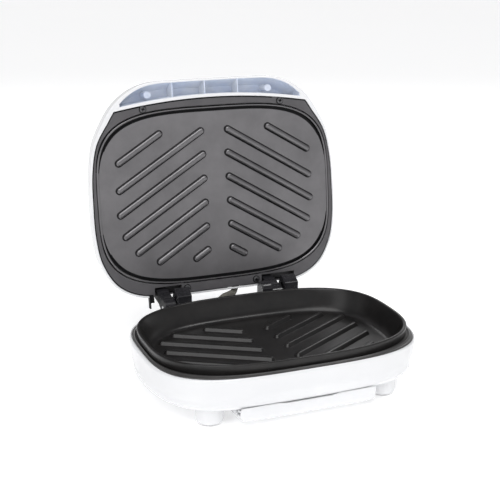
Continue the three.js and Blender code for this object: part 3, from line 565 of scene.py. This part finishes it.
def base_shell():
    outside = smooth(
        square_rings(BASE_LOW, (10.4, FLOOR), (5, FLOOR + 2), (2, FLOOR + 5), (0.6, FLOOR + 9))
        + square_rings(BASE, (1, FLOOR + 16), (0.05, BASE_TOP - 4), (0.35, BASE_TOP - 1.6),
                       (1.3, BASE_TOP - 0.3))
        + square_rings(LEDGE, (-1.0, BASE_TOP), (-0.35, BASE_TOP - 0.15)))
    outside += square_rings(LEDGE, (-0.1, BASE_TOP - 0.6))
    inside = (
        square_rings(BASE_LOW, (22, FLOOR + WALL), (10.4, FLOOR + 2.8), (5.2, FLOOR + 6))
        + square_rings(BASE, (3.4, FLOOR + 16))
        + square_rings(LEDGE, (2.4, SEAT - 1.5), (2.4, SEAT), (0, SEAT + 0.01), (0, BASE_TOP + 1)))
    shell = join(solid(lofted(outside)), solid(shelf()))
    foot = [(8.6, 0.8), (10, 1.15), (11.1, 2.1), (11.7, 3.6), (11.9, 5.4), (11.9, FLOOR + 3)]
    for x, y in FEET:
        join(shell, solid(turned(foot, x, y, 56)))
    room = [bar_ring(-SHELF_HALF + WALL, SHELF_HALF - WALL, SHELF_FRONT - 10, SHELF_BACK - WALL,
                     SHELF_CORNER - WALL, z) for z in (FLOOR + WALL, SHELF_TOP - WALL)]
    cut(shell, solid(lofted(inside)), solid(lofted(room)))
    for x, y in FEET:
        cut(shell, solid(turned([(8.9, -1), (8.9, 3)], x, y)))
    bore = [(3.6, FLOOR - 1), (3.6, 21.1), (PILOT, 21.11), (PILOT, 27)]
    for x, y in PLATE_SCREWS:
        join(shell, solid(turned([(5, FLOOR + 0.5), (5, 25.5)], x, y, 32)))
        cut(shell, solid(turned(bore, x, y, 32)))
    for rail in tray_rails():
        join(shell, solid(rail))
    spout = box(-14.6, 14.6, -75.6, -61.4, FLOOR - 2, FLOOR + 5)
    collar = turned([(5.6, SHELF_TOP - 4), (5.6, SHELF_TOP + 1)], SLEEVE_X, SLEEVE_Y)
    inlet = lengthwise([(5.9, SHELF_BACK - 8), (5.9, SHELF_BACK + 2)], INLET_X, INLET_Z)
    cut(shell, solid(spout), solid(collar), solid(inlet))
    return piece(shell, "shell_of_base", on_base, WHITE, "base", ["base_shell"], 30)


def trim_ring():
    """The ledge round the lower plate, with a bead along its middle."""
    levels = [(0.0, 45.2), (0.03, 46.3), (0.12, 46.75), (0.28, 46.9), (0.42, 47.45), (0.5, 47.7),
              (0.58, 47.45), (0.7, 46.9), (0.86, 46.7), (1.0, 46.5)]
    top = smooth([mixed_ring(square_ring(LEDGE, 0.12, z), square_ring(RIM, 0.75, z), share)
                  for share, z in levels], 3)
    underside = SEAT + 0.3
    outer, inner = square_ring(LEDGE, 0.3, underside), square_ring(RIM, 1.0, underside)
    points, faces = lofted([outer] + top + [inner, outer])
    ring = solid((points, faces[1:-1]))
    work = bmesh.new()
    work.from_mesh(ring.data)
    bmesh.ops.remove_doubles(work, verts=work.verts, dist=1e-4)
    bmesh.ops.recalc_face_normals(work, faces=work.faces)
    work.to_mesh(ring.data)
    work.free()
    return piece(ring, "ledge_ring", on_base, LEDGE_BLACK, "base", ["base_trim_ring"], 40)


def lower_plate():
    """The ribbed well, with a drain slot and a spout at its front and four screw bosses below."""
    outside = square_rings(RIM, (14, WELL - 3), (9, WELL - 1.8), (4.4, WELL + 6), (1.2, 45.1))
    outside += smooth(square_rings(
        RIM, (1.1, 46.2), (0.5, 50), (0.05, RIM_TOP - 1.6), (0.15, RIM_TOP - 0.7), (0.6, RIM_TOP - 0.15),
        (1.25, RIM_TOP)), 3)
    inside = smooth(square_rings(
        RIM, (26, WELL - 0.02), (17, WELL + 0.02), (12, WELL + 0.9), (8.6, WELL + 4.6), (5.6, RIM_TOP - 8),
        (3.2, RIM_TOP - 1.6), (2.3, RIM_TOP - 0.35), (1.4, RIM_TOP + 0.05)), 3)
    inside += square_rings(RIM, (0.4, RIM_TOP + 1))
    plate = cut(solid(lofted(outside)), solid(lofted(inside)))
    join(plate, solid(lofted([bar_ring(-13.4, 13.4, -74.4, -62.6, 4, z, 5) for z in (15, WELL - 1)])))
    cut(plate, solid(lofted([bar_ring(-11, 11, -72, -65, 3, z, 5) for z in (13, WELL + 4)])))
    for x, y in PLATE_SCREWS:
        join(plate, solid(turned([(4, 25.8), (4, WELL - 1)], x, y)))
        cut(plate, solid(turned([(PILOT, 24), (PILOT, WELL - 2.4)], x, y)))
    add(plate, *ribs(LOWER_RIBS, 0, WELL, 1))
    return piece(plate, "lower_plate", on_base, DARK_PLATE, "base", ["lower_grill_plate"],
                 42)


def bracket(x, cheek, name):
    """The base's half of a hinge: a floor, a post with a ramp, and a cheek where there is one."""
    y, z, foot = HINGE_RUN, HINGE_Z, SHELF_TOP + 0.3
    left, lift = max(cheek, 13.5), 8
    made = solid(lofted([bar_ring(x - left, x + 15.5, y - 8, y + 12, 2, h, 5) for h in (foot, foot + 3)]))
    rounded(made, 0.5, 3)
    ramp = [(y - 7.9, foot + 0.2), (y + 10, foot + 0.2), (y + 10, z + 6), (y + 4, z + 17), (y + 1, z + 17),
            (y - 7.9, z + 12)]
    join(made, rounded(solid(side_slab(ramp, x + 0.8, x + 15.3)), 0.9, 4))
    if cheek:
        profile = [(y - 8.8, foot + 0.2), (y + 9, foot + 0.2)] + arc(y, z + 6, 8, 0, 180, 24)
        join(made, rounded(solid(side_slab(profile, x - cheek, x - 12.5)), 0.8, 4))
    slot = arc(y, z, 2.8, 180, 360) + arc(y, z + lift, 2.8, 0, 180)
    cut(made, solid(side_slab(slot, x - 18, x + 11)))
    for dy in (-4.6, 8.6):
        cut(made, solid(turned([(PILOT, foot - 1), (PILOT, foot + 5)], x - 9.5, y + dy)))
    return piece(made, name, on_base, HINGE_BLACK, "base", [name.replace("bracket", "hinge_bracket")],
                 30)


def gland():
    """The empty inlet at the back of the shelf."""
    outside = [(5.6, -5), (5.6, 0.3), (6.6, 0.31), (7.2, 0.9), (7.2, 2.7), (6.7, 3.3), (6.5, 4.4), (5.5, 7.3),
               (4.9, 8)]
    bore = [(3.8, -8), (3.8, 7), (4.5, 9)]
    tube, hole = (solid(lengthwise([(r, SHELF_BACK + y) for r, y in line], INLET_X, INLET_Z, 48))
                  for line in (outside, bore))
    cut(tube, hole)
    return piece(tube, "cord_inlet", on_base, BLACK, "base", ["cord_gland"])


def grommet():
    """The collar that the wire sleeve leaves the shelf through."""
    outside = [(5.3, -4), (5.3, 0.2), (6.9, 0.3), (7.2, 0.8), (7.0, 1.7), (6.2, 2.2)]
    bore = [(4.0, -6), (4.0, 4)]
    ring, hole = (solid(turned([(r, SHELF_TOP + z) for r, z in line], SLEEVE_X, SLEEVE_Y))
                  for line in (outside, bore))
    cut(ring, hole)
    return piece(ring, "sleeve_collar", on_base, BLACK, "base", ["sleeve_grommet"])


def foot_pads():
    for i, (x, y) in enumerate(FEET):
        pad = solid(turned([(7.9, 0), (8.4, 0.3), (8.6, 0.9), (8.6, 2.7)], x, y, 48))
        cut(pad, solid(turned([(3.2, -1), (3.0, 0.5)], x, y, 32)))
        piece(pad, f"pad_{i + 1}", on_base, RUBBER, "base", [f"foot_pad_{i + 1}"])


def screw(x, y, z, place, name, body, node, head=3.0, shank=10.5):
    """A pan-head screw with a cross recess, whose head faces down from z."""
    profile = [(1.5, -shank), (1.5, -0.1), (head - 0.05, 0), (head, 0.35), (head * 0.94, 0.75),
               (head * 0.7, 1.08), (head * 0.35, 1.2)]
    made = solid(turned([(r, z - h) for r, h in profile], x, y, 36))
    for angle in (0, 90):
        c, s = math.cos(math.radians(angle + 12)), math.sin(math.radians(angle + 12))
        rings = []
        for half, wide, h in ((0.9, 0.35, 0.1), (head * 0.68, 0.6, 1.5)):
            rings.append([(x + c * u - s * v, y + s * u + c * v, z - h)
                          for u, v in ((-half, -wide), (half, -wide), (half, wide), (-half, wide))])
        cut(made, solid(lofted(rings)))

    # painted shade: faces inside the cross recess get the near-black shade finish
    def shade_in_recess(face):
        out, depth = math.hypot(face.center.x - x, face.center.y - y), z - face.center.z
        return out < head * 0.7 and 0.05 < depth < 0.95 and (abs(face.normal.z) < 0.9 or depth < 0.3)

    paint(made, (SCREW, PAINTED_SHADE_BLACK), shade_in_recess)
    return piece(made, name, place, SCREW, body, [node], extra=(PAINTED_SHADE_BLACK,))


# ---- drip tray -----------------------------------------------------------------------

def drip_tray():
    """A pan with a flange on the rails, a skirt below it and a long lip in front."""
    def pan_ring(inset, z):
        return bar_ring(-TRAY_HALF + inset, TRAY_HALF - inset, TRAY_FRONT + inset, TRAY_BACK - inset,
                        11 - inset * 0.4, z, 10)

    def skirt_ring(inset, z):
        return bar_ring(-61 + inset, 61 - inset, -82 + inset, TRAY_BACK - inset, 9 - inset * 0.4, z, 10)

    def lip_ring(inset, back, z):
        front, rear = -83 + inset, -79 - back
        return bar_ring(-61.7 + 1.6 * inset, 61.7 - 1.6 * inset, front, rear, (rear + 83 - inset) / 2 - 0.05,
                        z, 6)

    pan = smooth([pan_ring(4.2, 4.6), pan_ring(2.2, 4.85), pan_ring(0.9, 5.9), pan_ring(0.4, 8),
                  pan_ring(0, 13.9)], 3)
    flange = [bar_ring(-61, 61, -80.2, TRAY_BACK, 8, z, 10) for z in (12.1, 13.9)]
    skirt = smooth([skirt_ring(4.4, 4.7), skirt_ring(2.2, 4.95), skirt_ring(0.8, 6), skirt_ring(0.2, 7.4),
                    skirt_ring(0, 9.7)], 3)
    lip = smooth([lip_ring(1.3, 0, 6.6), lip_ring(0.4, 0, 7.6), lip_ring(0.05, 0, 9.4), lip_ring(0, 0, 13.4),
                  lip_ring(0.08, 1.2, 15.3), lip_ring(0.2, 1.9, 16.6), lip_ring(0.3, 2.5, 17.7),
                  lip_ring(0.6, 3.05, 18.3)], 3)
    hollow = smooth([pan_ring(6.2, 6.4), pan_ring(4, 6.6), pan_ring(2.6, 8.4), pan_ring(1.8, 15)], 3)
    dip = [[(-half, -70, z), (half, -70, z), (half, -90, z), (-half, -90, z)]
           for half, z in ((34, 19), (20, 16.9))]
    tray = join(solid(lofted(pan)), solid(lofted(flange)), solid(lofted(skirt)), solid(lofted(lip)))
    cut(tray, solid(lofted(hollow)), solid(lofted(dip)))
    return piece(tray, "tray", on_base, WHITE, "tray", ["drip_tray"], 34)


# ---- lid -----------------------------------------------------------------------------

def dome(inset, sink):
    """The rings of the lid's crown, drawn in and lowered for its inner face."""
    top = LID_TOP - sink
    return lid_rings(
        "shell", (0.6 + inset, PLANE + 14), (4.4 + inset, PLANE + 22), (11 + inset, top - 10.8),
        (21 + inset, top - 6), (38 + inset, top - 2.4), (60 + inset, top - 0.6), (84, top))


def inner_dome():
    """The room inside the lid's walls."""
    rim = lid_rings("bezel", (-0.3, PLANE - 1), (-0.3, PLANE + 4)) + lid_rings("shell", (2.4, PLANE + 8))
    return solid(lofted(smooth(rim + dome(2.4, 2.4), 3)))


def beyond_arc(forward, z0, z1):
    """Everything in front of the bezel's front edge, moved forward by a distance."""
    half_width, far = 140, -260
    centre = BEZEL_FRONT - forward + BEZEL_RADIUS
    half = math.degrees(math.asin(half_width / BEZEL_RADIUS))
    line = arc(0, centre, BEZEL_RADIUS, 270 - half, 270 + half, 60) + [(half_width, far), (-half_width, far)]
    return solid(upright_slab(line, z0, z1))


def finger_pocket():
    """The room of the finger pocket in front of the bezel, split by three ribs and two screw posts."""
    deep, far = PLANE + 24, -260
    room = meet(beyond_arc(3.2, PLANE - 2, deep), solid(box(-92, 92, far, -170, PLANE - 2, deep)))
    cut(room, solid(merged([box(x - 0.6, x + 0.6, far, -170, PLANE + 9, deep + 1) for x in (-37, -4, 30)])))
    for x in (-62, 62):
        cut(room, solid(turned([(3.4, PLANE + 9), (3.4, deep + 1)], x, -201, 32)))
    return meet(room, inner_dome())


def pocket_painted_shading(face):
    """The number of a pocket face's painted shading: the ribs and the front wall catch more light and get the
    lighter painted light, the rest the blue-grey painted shade.
    """
    on_rib = abs(face.normal.x) > 0.8 and abs(face.center.x) < 60
    return 2 if on_rib or face.normal.y > 0.5 else 1


def lid_shell():
    lip = lid_rings("shell", (0.9, PLANE), (0.35, PLANE + 0.25), (0, PLANE + 1.1), (-0.35, PLANE + 7))
    shell = solid(lofted(smooth(lip + dome(0, 0.05), 4)))
    room = cut(inner_dome(), beyond_arc(0.3, PLANE - 3, LID_TOP + 5))
    for x, y in SCREWS:
        cut(room, solid(turned([(3.4, PLANE + 2.7), (3.4, LID_TOP + 5)], x, y, 32)))
    pocket = finger_pocket()
    # the shell's white, then the pocket's painted shade and painted light
    finishes = (WHITE, POCKET_PAINTED_SHADE, POCKET_PAINTED_LIGHT)
    paint(shell, finishes, lambda face: 0)
    paint(pocket, finishes, pocket_painted_shading)
    cut(shell, room, pocket)
    for x, y in SCREWS:
        cut(shell, solid(turned([(PILOT, PLANE + 1), (PILOT, PLANE + 13)], x, y, 24)))
    for x0, x1 in RECESSES:
        cut(shell, solid(box(x0 - 2.1, x1 + 2.1, -18.5, 4, PLANE - 2, PLANE + 11.3)))
    lens_hole = turned([(4.4, PLANE + 20), (4.4, PLANE + 50)], LAMP_X, LAMP_Y)
    sleeve_notch = box(6, 22, -13, 4, 20, 32)
    hook_notch = box(-75.5, -69.6, -10.3, 4, PLANE - 2, PLANE + 5.3)
    cut(shell, solid(lens_hole), solid(sleeve_notch), solid(hook_notch))
    return piece(shell, "shell_of_lid", on_lid, WHITE, "lid", ["lid_shell"], 30,
                 finishes[1:])


def towards_ends(y, closer, further):
    """A value that eases from one in the middle of the plate's sides to the other along its ends."""
    share = min(max((abs(y - UPPER_Y) - 22) / 40, 0.0), 1.0)
    share = share * share * (3 - 2 * share)
    return closer + (further - closer) * share


def eased_ring(middle, ends):
    """A ring round the upper plate, from [inset, z] at the middle of its sides and at its ends."""
    first, second = [square_ring(UPPER, inset, z, UPPER_Y) for inset, z in (middle, ends)]
    return [tuple(towards_ends(p[1], p[i], q[i]) for i in range(3)) for p, q in zip(first, second)]


def bezel():
    """The frame round the upper plate: a sheet with a raised face, recesses for the arms and a hook."""
    low, step, high = PLANE, PLANE + 1.3, PLANE + 2.4
    face = solid(lofted(lid_rings("bezel", (1.15, low), (0.8, low + 0.35), (0.8, step + 0.1))))
    cut(face, beyond_arc(-1.1, low - 2, high + 2))
    tab = meet(solid(box(62.5, 74, -220, -185, low, step + 0.1)),
               solid(lofted(lid_rings("bezel", (0, low - 1), (0, high)))))
    cut(tab, beyond_arc(0, low - 2, high + 2))
    frame_sheet = solid(lofted(lid_rings("bezel", (0, step), (0, high))))
    cut(frame_sheet, beyond_arc(0, low - 2, high + 2))
    join(frame_sheet, face, tab)
    opening = [eased_ring((-0.7, z), (-inset, z)) for inset, z in
               ((1.5, low - 3), (1.5, low), (1.1, low + 0.4), (1.1, high + 3))]
    cut(frame_sheet, solid(lofted(opening)))
    below, roof, front, back = low - 2, low + 9.2, -16.4, -9.5
    for x, (x0, x1) in zip(HINGE_X, RECESSES):
        join(frame_sheet, solid(box(x0 - 1.8, x1 + 1.8, front - 1.8, back + 1.5, low, roof + 1.8)))
        cut(frame_sheet, solid(box(x0, x1, front, back, below, roof)),
            solid(box(max(x - 12.4, x0), x + 0.5, front, 4, below, roof)),
            solid(box(x0, x1, front, 4, below, low + 1.4)))
    for x, y in SCREWS:
        cut(frame_sheet, solid(turned([(PILOT, low - 3), (PILOT, high + 3)], x, y)),
            solid(turned([(3.8, low - 3), (3.6, low + 0.8)], x, y, 36)))
    hook = (box(-75.2, -74, -10, 3.8, low, low + 5), box(-74.5, -70.6, -10, -1.8, low, low + 5))
    join(frame_sheet, *[solid(part) for part in hook])

    # Painted shade: the sunken step under the raised face, its wall and the back walls of the arm recesses
    # get the near-black shade finish; the hook behind is given the same near-black.
    def shaded(face):
        x, y, z = face.center
        return ((z > low + 0.95 and face.normal.z < -0.3 and y < -19) or (y > -8.05 and x < -70)
                or low + 0.5 < z < low + 0.9 or (-9.6 < y < -9.4 and face.normal.y < -0.9))

    paint(frame_sheet, (BEZEL, PAINTED_SHADE_BLACK), shaded)
    return piece(frame_sheet, "lid_frame", on_lid, BEZEL, "lid", ["lid_bezel"], 30,
                 (PAINTED_SHADE_BLACK,))


def upper_plate():
    """The ribbed face, with a groove round it that is shallow along the sides and deep at the ends."""
    f = PLANE
    middle = [(0, f + 4.4), (0, f - 0.2), (0.25, f - 0.45), (1.4, f - 0.45), (1.6, f - 0.3),
              (1.7, f + 0.25), (2.2, f + 0.25), (2.3, f + 0.1), (2.7, f)]
    ends = [(0, f + 4.4), (0, f - 0.4), (0.35, f - 0.8), (1.15, f - 0.8), (1.5, f - 0.4),
            (1.6, f + 2.8), (3.7, f + 2.8), (3.85, f + 0.35), (4.4, f)]
    plate = solid(lofted([eased_ring(a, b) for a, b in zip(middle, ends)]))
    add(plate, *ribs(UPPER_RIBS, UPPER_Y, f, -1))

    # Painted shade: the groove walls towards the ends get the near-black shade finish and the ribs' flanks
    # the dark copy of the grey plate; the rest stays grey.
    def plate_painted_shade(face):
        x, y, z = face.center
        across, along = abs(x) / (UPPER[0] - 8), abs(y - UPPER_Y) / (UPPER[1] - 8)
        if len(face.vertices) != 4:
            return 0
        if across ** UPPER[2] + along ** UPPER[2] < 1:
            return 2 if f - 1.9 < z < f - 0.02 else 0
        return 1 if f + 0.15 < z < f + 2.9 and towards_ends(y, 0, 1) > 0.12 else 0

    extra = (PAINTED_SHADE_BLACK, GREY_PLATE_PAINTED_SHADE)
    paint(plate, (GREY_PLATE, *extra), plate_painted_shade)
    return piece(plate, "upper_plate", on_lid, GREY_PLATE, "lid", ["upper_grill_plate"],
                 42, extra)


def lid_arm(x, name):
    """The lid's knuckle with the arm that reaches into the frame's recess."""
    radius, roof, back = 8.6, PLANE + 8.9, -14
    outline = arc(0, 0, radius, 162, 371, 40) + [(-1.5, PLANE - 4), (-5, roof), (back, roof),
                                                 (back, PLANE - 1)]
    arm = rounded(solid(side_slab(outline, x - 11.6, x - 0.2)), 0.7, 3)
    cut(arm, solid(crossbar([(2.8, x - 14), (2.8, x + 2)], 0, 0, 48)))
    # painted shade: the arm's left-facing side gets the near-black shade finish
    paint(arm, (HINGE_BLACK, PAINTED_SHADE_BLACK), lambda face: face.normal.x < -0.8)
    return piece(arm, name, on_lid, HINGE_BLACK, "lid", [name], 30, (PAINTED_SHADE_BLACK,))


def hinge_pin(x, reach, name):
    start, end = x - reach, x + 10
    profile = [(2.0, start), (2.5, start + 0.5), (2.5, end - 0.5), (2.0, end)]
    pin = solid(crossbar(profile, HINGE_RUN, HINGE_Z))
    return piece(pin, name + "_shaft", on_base, STEEL, "hinge_pins", [name])


def lamp():
    profile = [(4.1, -7), (4.1, -0.1), (3.7, 0.3), (2.6, 0.6), (1.0, 0.7)]
    lens = solid(turned([(r, LID_TOP + z) for r, z in profile], LAMP_X, LAMP_Y))
    return piece(lens, "indicator_lens", on_lid, LENS, "lid", ["lamp_lens"])


# ---- wire sleeve ---------------------------------------------------------------------

def wire_sleeve():
    """A woven tube from the shelf's collar into the notch in the lid's rear wall."""
    x, y, top = SLEEVE_X, SLEEVE_Y, SHELF_TOP
    route = [(x, y, top - 9), (x, y, top), (x + 0.6, y + 0.9, top + 5.5), (x + 4.5, y + 4.4, top + 9.4),
             (x + 11.5, y + 9.2, top + 11.2), (x + 18.4, y + 14, top + 11.2),
             (x + 24.4, y + 18.6, top + 11)]
    route = [Vector(on_base(p)) for p in route]
    route += [Vector(on_lid(p)) for p in ((16.2, -6.7, 25.6), (18.4, -11.5, 25.8), (19.2, -14.2, 25.8))]
    last, steps = len(route) - 1, 10
    fine = [spline(route[max(k - 1, 0)], route[k], route[k + 1], route[min(k + 2, last)], step / steps)
            for k in range(last) for step in range(steps)] + [route[-1]]
    radius, swell, beat, repeat = 3.3, 0.12, 2.1, 10.4
    side = Vector((1, 0, 0))
    rings, travelled, count = [], [0.0], 32
    for k, p in enumerate(fine):
        along = (fine[min(k + 1, len(fine) - 1)] - fine[max(k - 1, 0)]).normalized()
        side = (side - along * side.dot(along)).normalized()
        up = along.cross(side)
        if k:
            travelled.append(travelled[-1] + (p - fine[k - 1]).length)
        here = radius + swell * math.sin(travelled[-1] / MM / beat)
        rings.append([p + (side * a + up * b) * here * MM for a, b in circle(1, count)])
    tube = solid(lofted(rings))
    weave = tube.data.uv_layers.new(name="weave")
    for face in tube.data.polygons:
        spots = [(tube.data.loops[k].vertex_index % count, tube.data.loops[k].vertex_index // count)
                 for k in face.loop_indices]
        wraps = max(s[0] for s in spots) - min(s[0] for s in spots) > count / 2
        for k, (i, level) in zip(face.loop_indices, spots):
            around = i + count if wraps and i < count / 2 else i
            weave.data[k].uv = (around / count * 2, travelled[level] / MM / repeat)
    piece(tube, "woven_sleeve", lambda p: p, BRAID, None, ["wire_sleeve"], 60)
    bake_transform(tube)


# ---- assembly ------------------------------------------------------------------------

base_shell()
trim_ring()
lower_plate()
bracket(HINGE_X[0], 0, "bracket_left")
bracket(HINGE_X[1], 22.5, "bracket_right")
gland()
grommet()
foot_pads()
for i, (x, y) in enumerate(PLATE_SCREWS):
    screw(x, y, 20.8, on_base, f"plate_fixing_{i + 1}", "base", f"plate_screw_{i + 1}", head=3.1, shank=8.5)
drip_tray()
lid_shell()
bezel()
upper_plate()
lid_arm(HINGE_X[0], "lid_hinge_arm_left")
lid_arm(HINGE_X[1], "lid_hinge_arm_right")
hinge_pin(HINGE_X[0], 12, "hinge_pin_left")
hinge_pin(HINGE_X[1], 17, "hinge_pin_right")
for i, (x, y) in enumerate(SCREWS):
    screw(x, y, PLANE - 0.3, on_lid, f"frame_fixing_{i + 1}", "lid", f"bezel_screw_{i + 1}")
lamp()
wire_sleeve()

for node, finish in (("lower_heating_rod", STEEL), ("upper_heating_rod", STEEL), ("thermal_fuse", STEEL),
                     ("lower_reflector", SHEET), ("upper_reflector", SHEET), ("thermostat", CERAMIC),
                     ("pilot_lamp", CERAMIC), ("terminal_block", BAKELITE)):
    frame["nodes"][node].data.materials.clear()
    frame["nodes"][node].data.materials.append(finish)


# ---- stage, light and camera ---------------------------------------------------------

def floor():
    """A pale disc that glows a little, so that it meets the studio's white."""
    ring = [(x, y, 0) for x, y in circle(6, 64)]
    mesh = bpy.data.meshes.new("floor")
    mesh.from_pydata(ring, [], [tuple(range(len(ring)))])
    made = bpy.data.objects.new("floor", mesh)
    bpy.context.scene.collection.objects.link(made)
    pale = surface("pale_floor", (0.97, 0.97, 0.97), (0.98, 0.98, 0.98), 0.6, patch=900, grain=20, bump=0.01)
    glow = pale.node_tree.nodes["Principled BSDF"]
    glow.inputs["Emission Color"].default_value = (1, 1, 1, 1)
    glow.inputs["Emission Strength"].default_value = 0.30
    made.data.materials.append(pale)


def softbox(name, place, aim, size, power):
    """A rectangular light at a place in metres, aimed at a point."""
    panel = bpy.data.lights.new(name, "AREA")
    panel.shape = "RECTANGLE"
    panel.size, panel.size_y = size
    panel.energy = power
    made = bpy.data.objects.new(name, panel)
    made.location = place
    made.rotation_euler = (Vector(aim) - Vector(place)).to_track_quat("-Z", "Y").to_euler()
    bpy.context.scene.collection.objects.link(made)


def sky():
    """A studio that is bright at the horizon and dim overhead."""
    made = bpy.data.worlds.new("studio")
    made.use_nodes = True
    nodes, link = made.node_tree.nodes, made.node_tree.links.new
    where = nodes.new("ShaderNodeTexCoord")
    parts = nodes.new("ShaderNodeSeparateXYZ")
    link(where.outputs["Generated"], parts.inputs["Vector"])
    ramp = nodes.new("ShaderNodeValToRGB")
    ramp.color_ramp.elements[0].position = 0.0
    ramp.color_ramp.elements[0].color = (1, 1, 1, 1)
    ramp.color_ramp.elements[1].position = 0.75
    ramp.color_ramp.elements[1].color = (0.10, 0.10, 0.105, 1)
    middle = ramp.color_ramp.elements.new(0.30)
    middle.color = (0.38, 0.38, 0.39, 1)
    link(parts.outputs["Z"], ramp.inputs["Fac"])
    link(ramp.outputs["Color"], nodes["Background"].inputs["Color"])
    nodes["Background"].inputs["Strength"].default_value = 1.0
    bpy.context.scene.world = made


def daylight(power, spread, heading):
    """One wide, soft source that shines along a heading."""
    source = bpy.data.lights.new("daylight", "SUN")
    source.energy = power
    source.angle = math.radians(spread)
    made = bpy.data.objects.new("daylight", source)
    made.rotation_euler = Vector(heading).to_track_quat("-Z", "Y").to_euler()
    bpy.context.scene.collection.objects.link(made)


def viewpoint(place, turn, drop, focal):
    """A camera turned to the right by one angle and tipped down by another, in degrees."""
    optics = bpy.data.cameras.new("camera")
    optics.lens = focal
    optics.sensor_width = 36
    made = bpy.data.objects.new("camera", optics)
    facing = Euler((math.radians(90 - drop), 0, math.radians(-turn)))
    made.matrix_world = Matrix.Translation(Vector(place) * MM) @ facing.to_matrix().to_4x4()
    bpy.context.scene.collection.objects.link(made)
    bpy.context.scene.camera = made


floor()
sky()
daylight(1.75, 50, (0.3, 0.5, -1.0))
softbox("front_light", (0.3, -1.9, 0.55), (0, 0, 0.1), (1.6, 0.5), 1)
softbox("left_light", (-1.4, -0.9, 0.7), (0, 0.1, 0.2), (0.8, 0.8), 2.5)
softbox("high_light", (0.75, -0.45, 1.5), (0, 0.05, 0.1), (0.34, 0.22), 5)
softbox("rim_light", (0.5, 1.1, 1.0), (0, 0, 0.1), (1.2, 0.5), 5)
viewpoint((-353.07, BASE_Y - 826.71, 399.22), turn=21.8864, drop=17.0943, focal=77.94)
bpy.context.scene.view_settings.view_transform = "Standard"
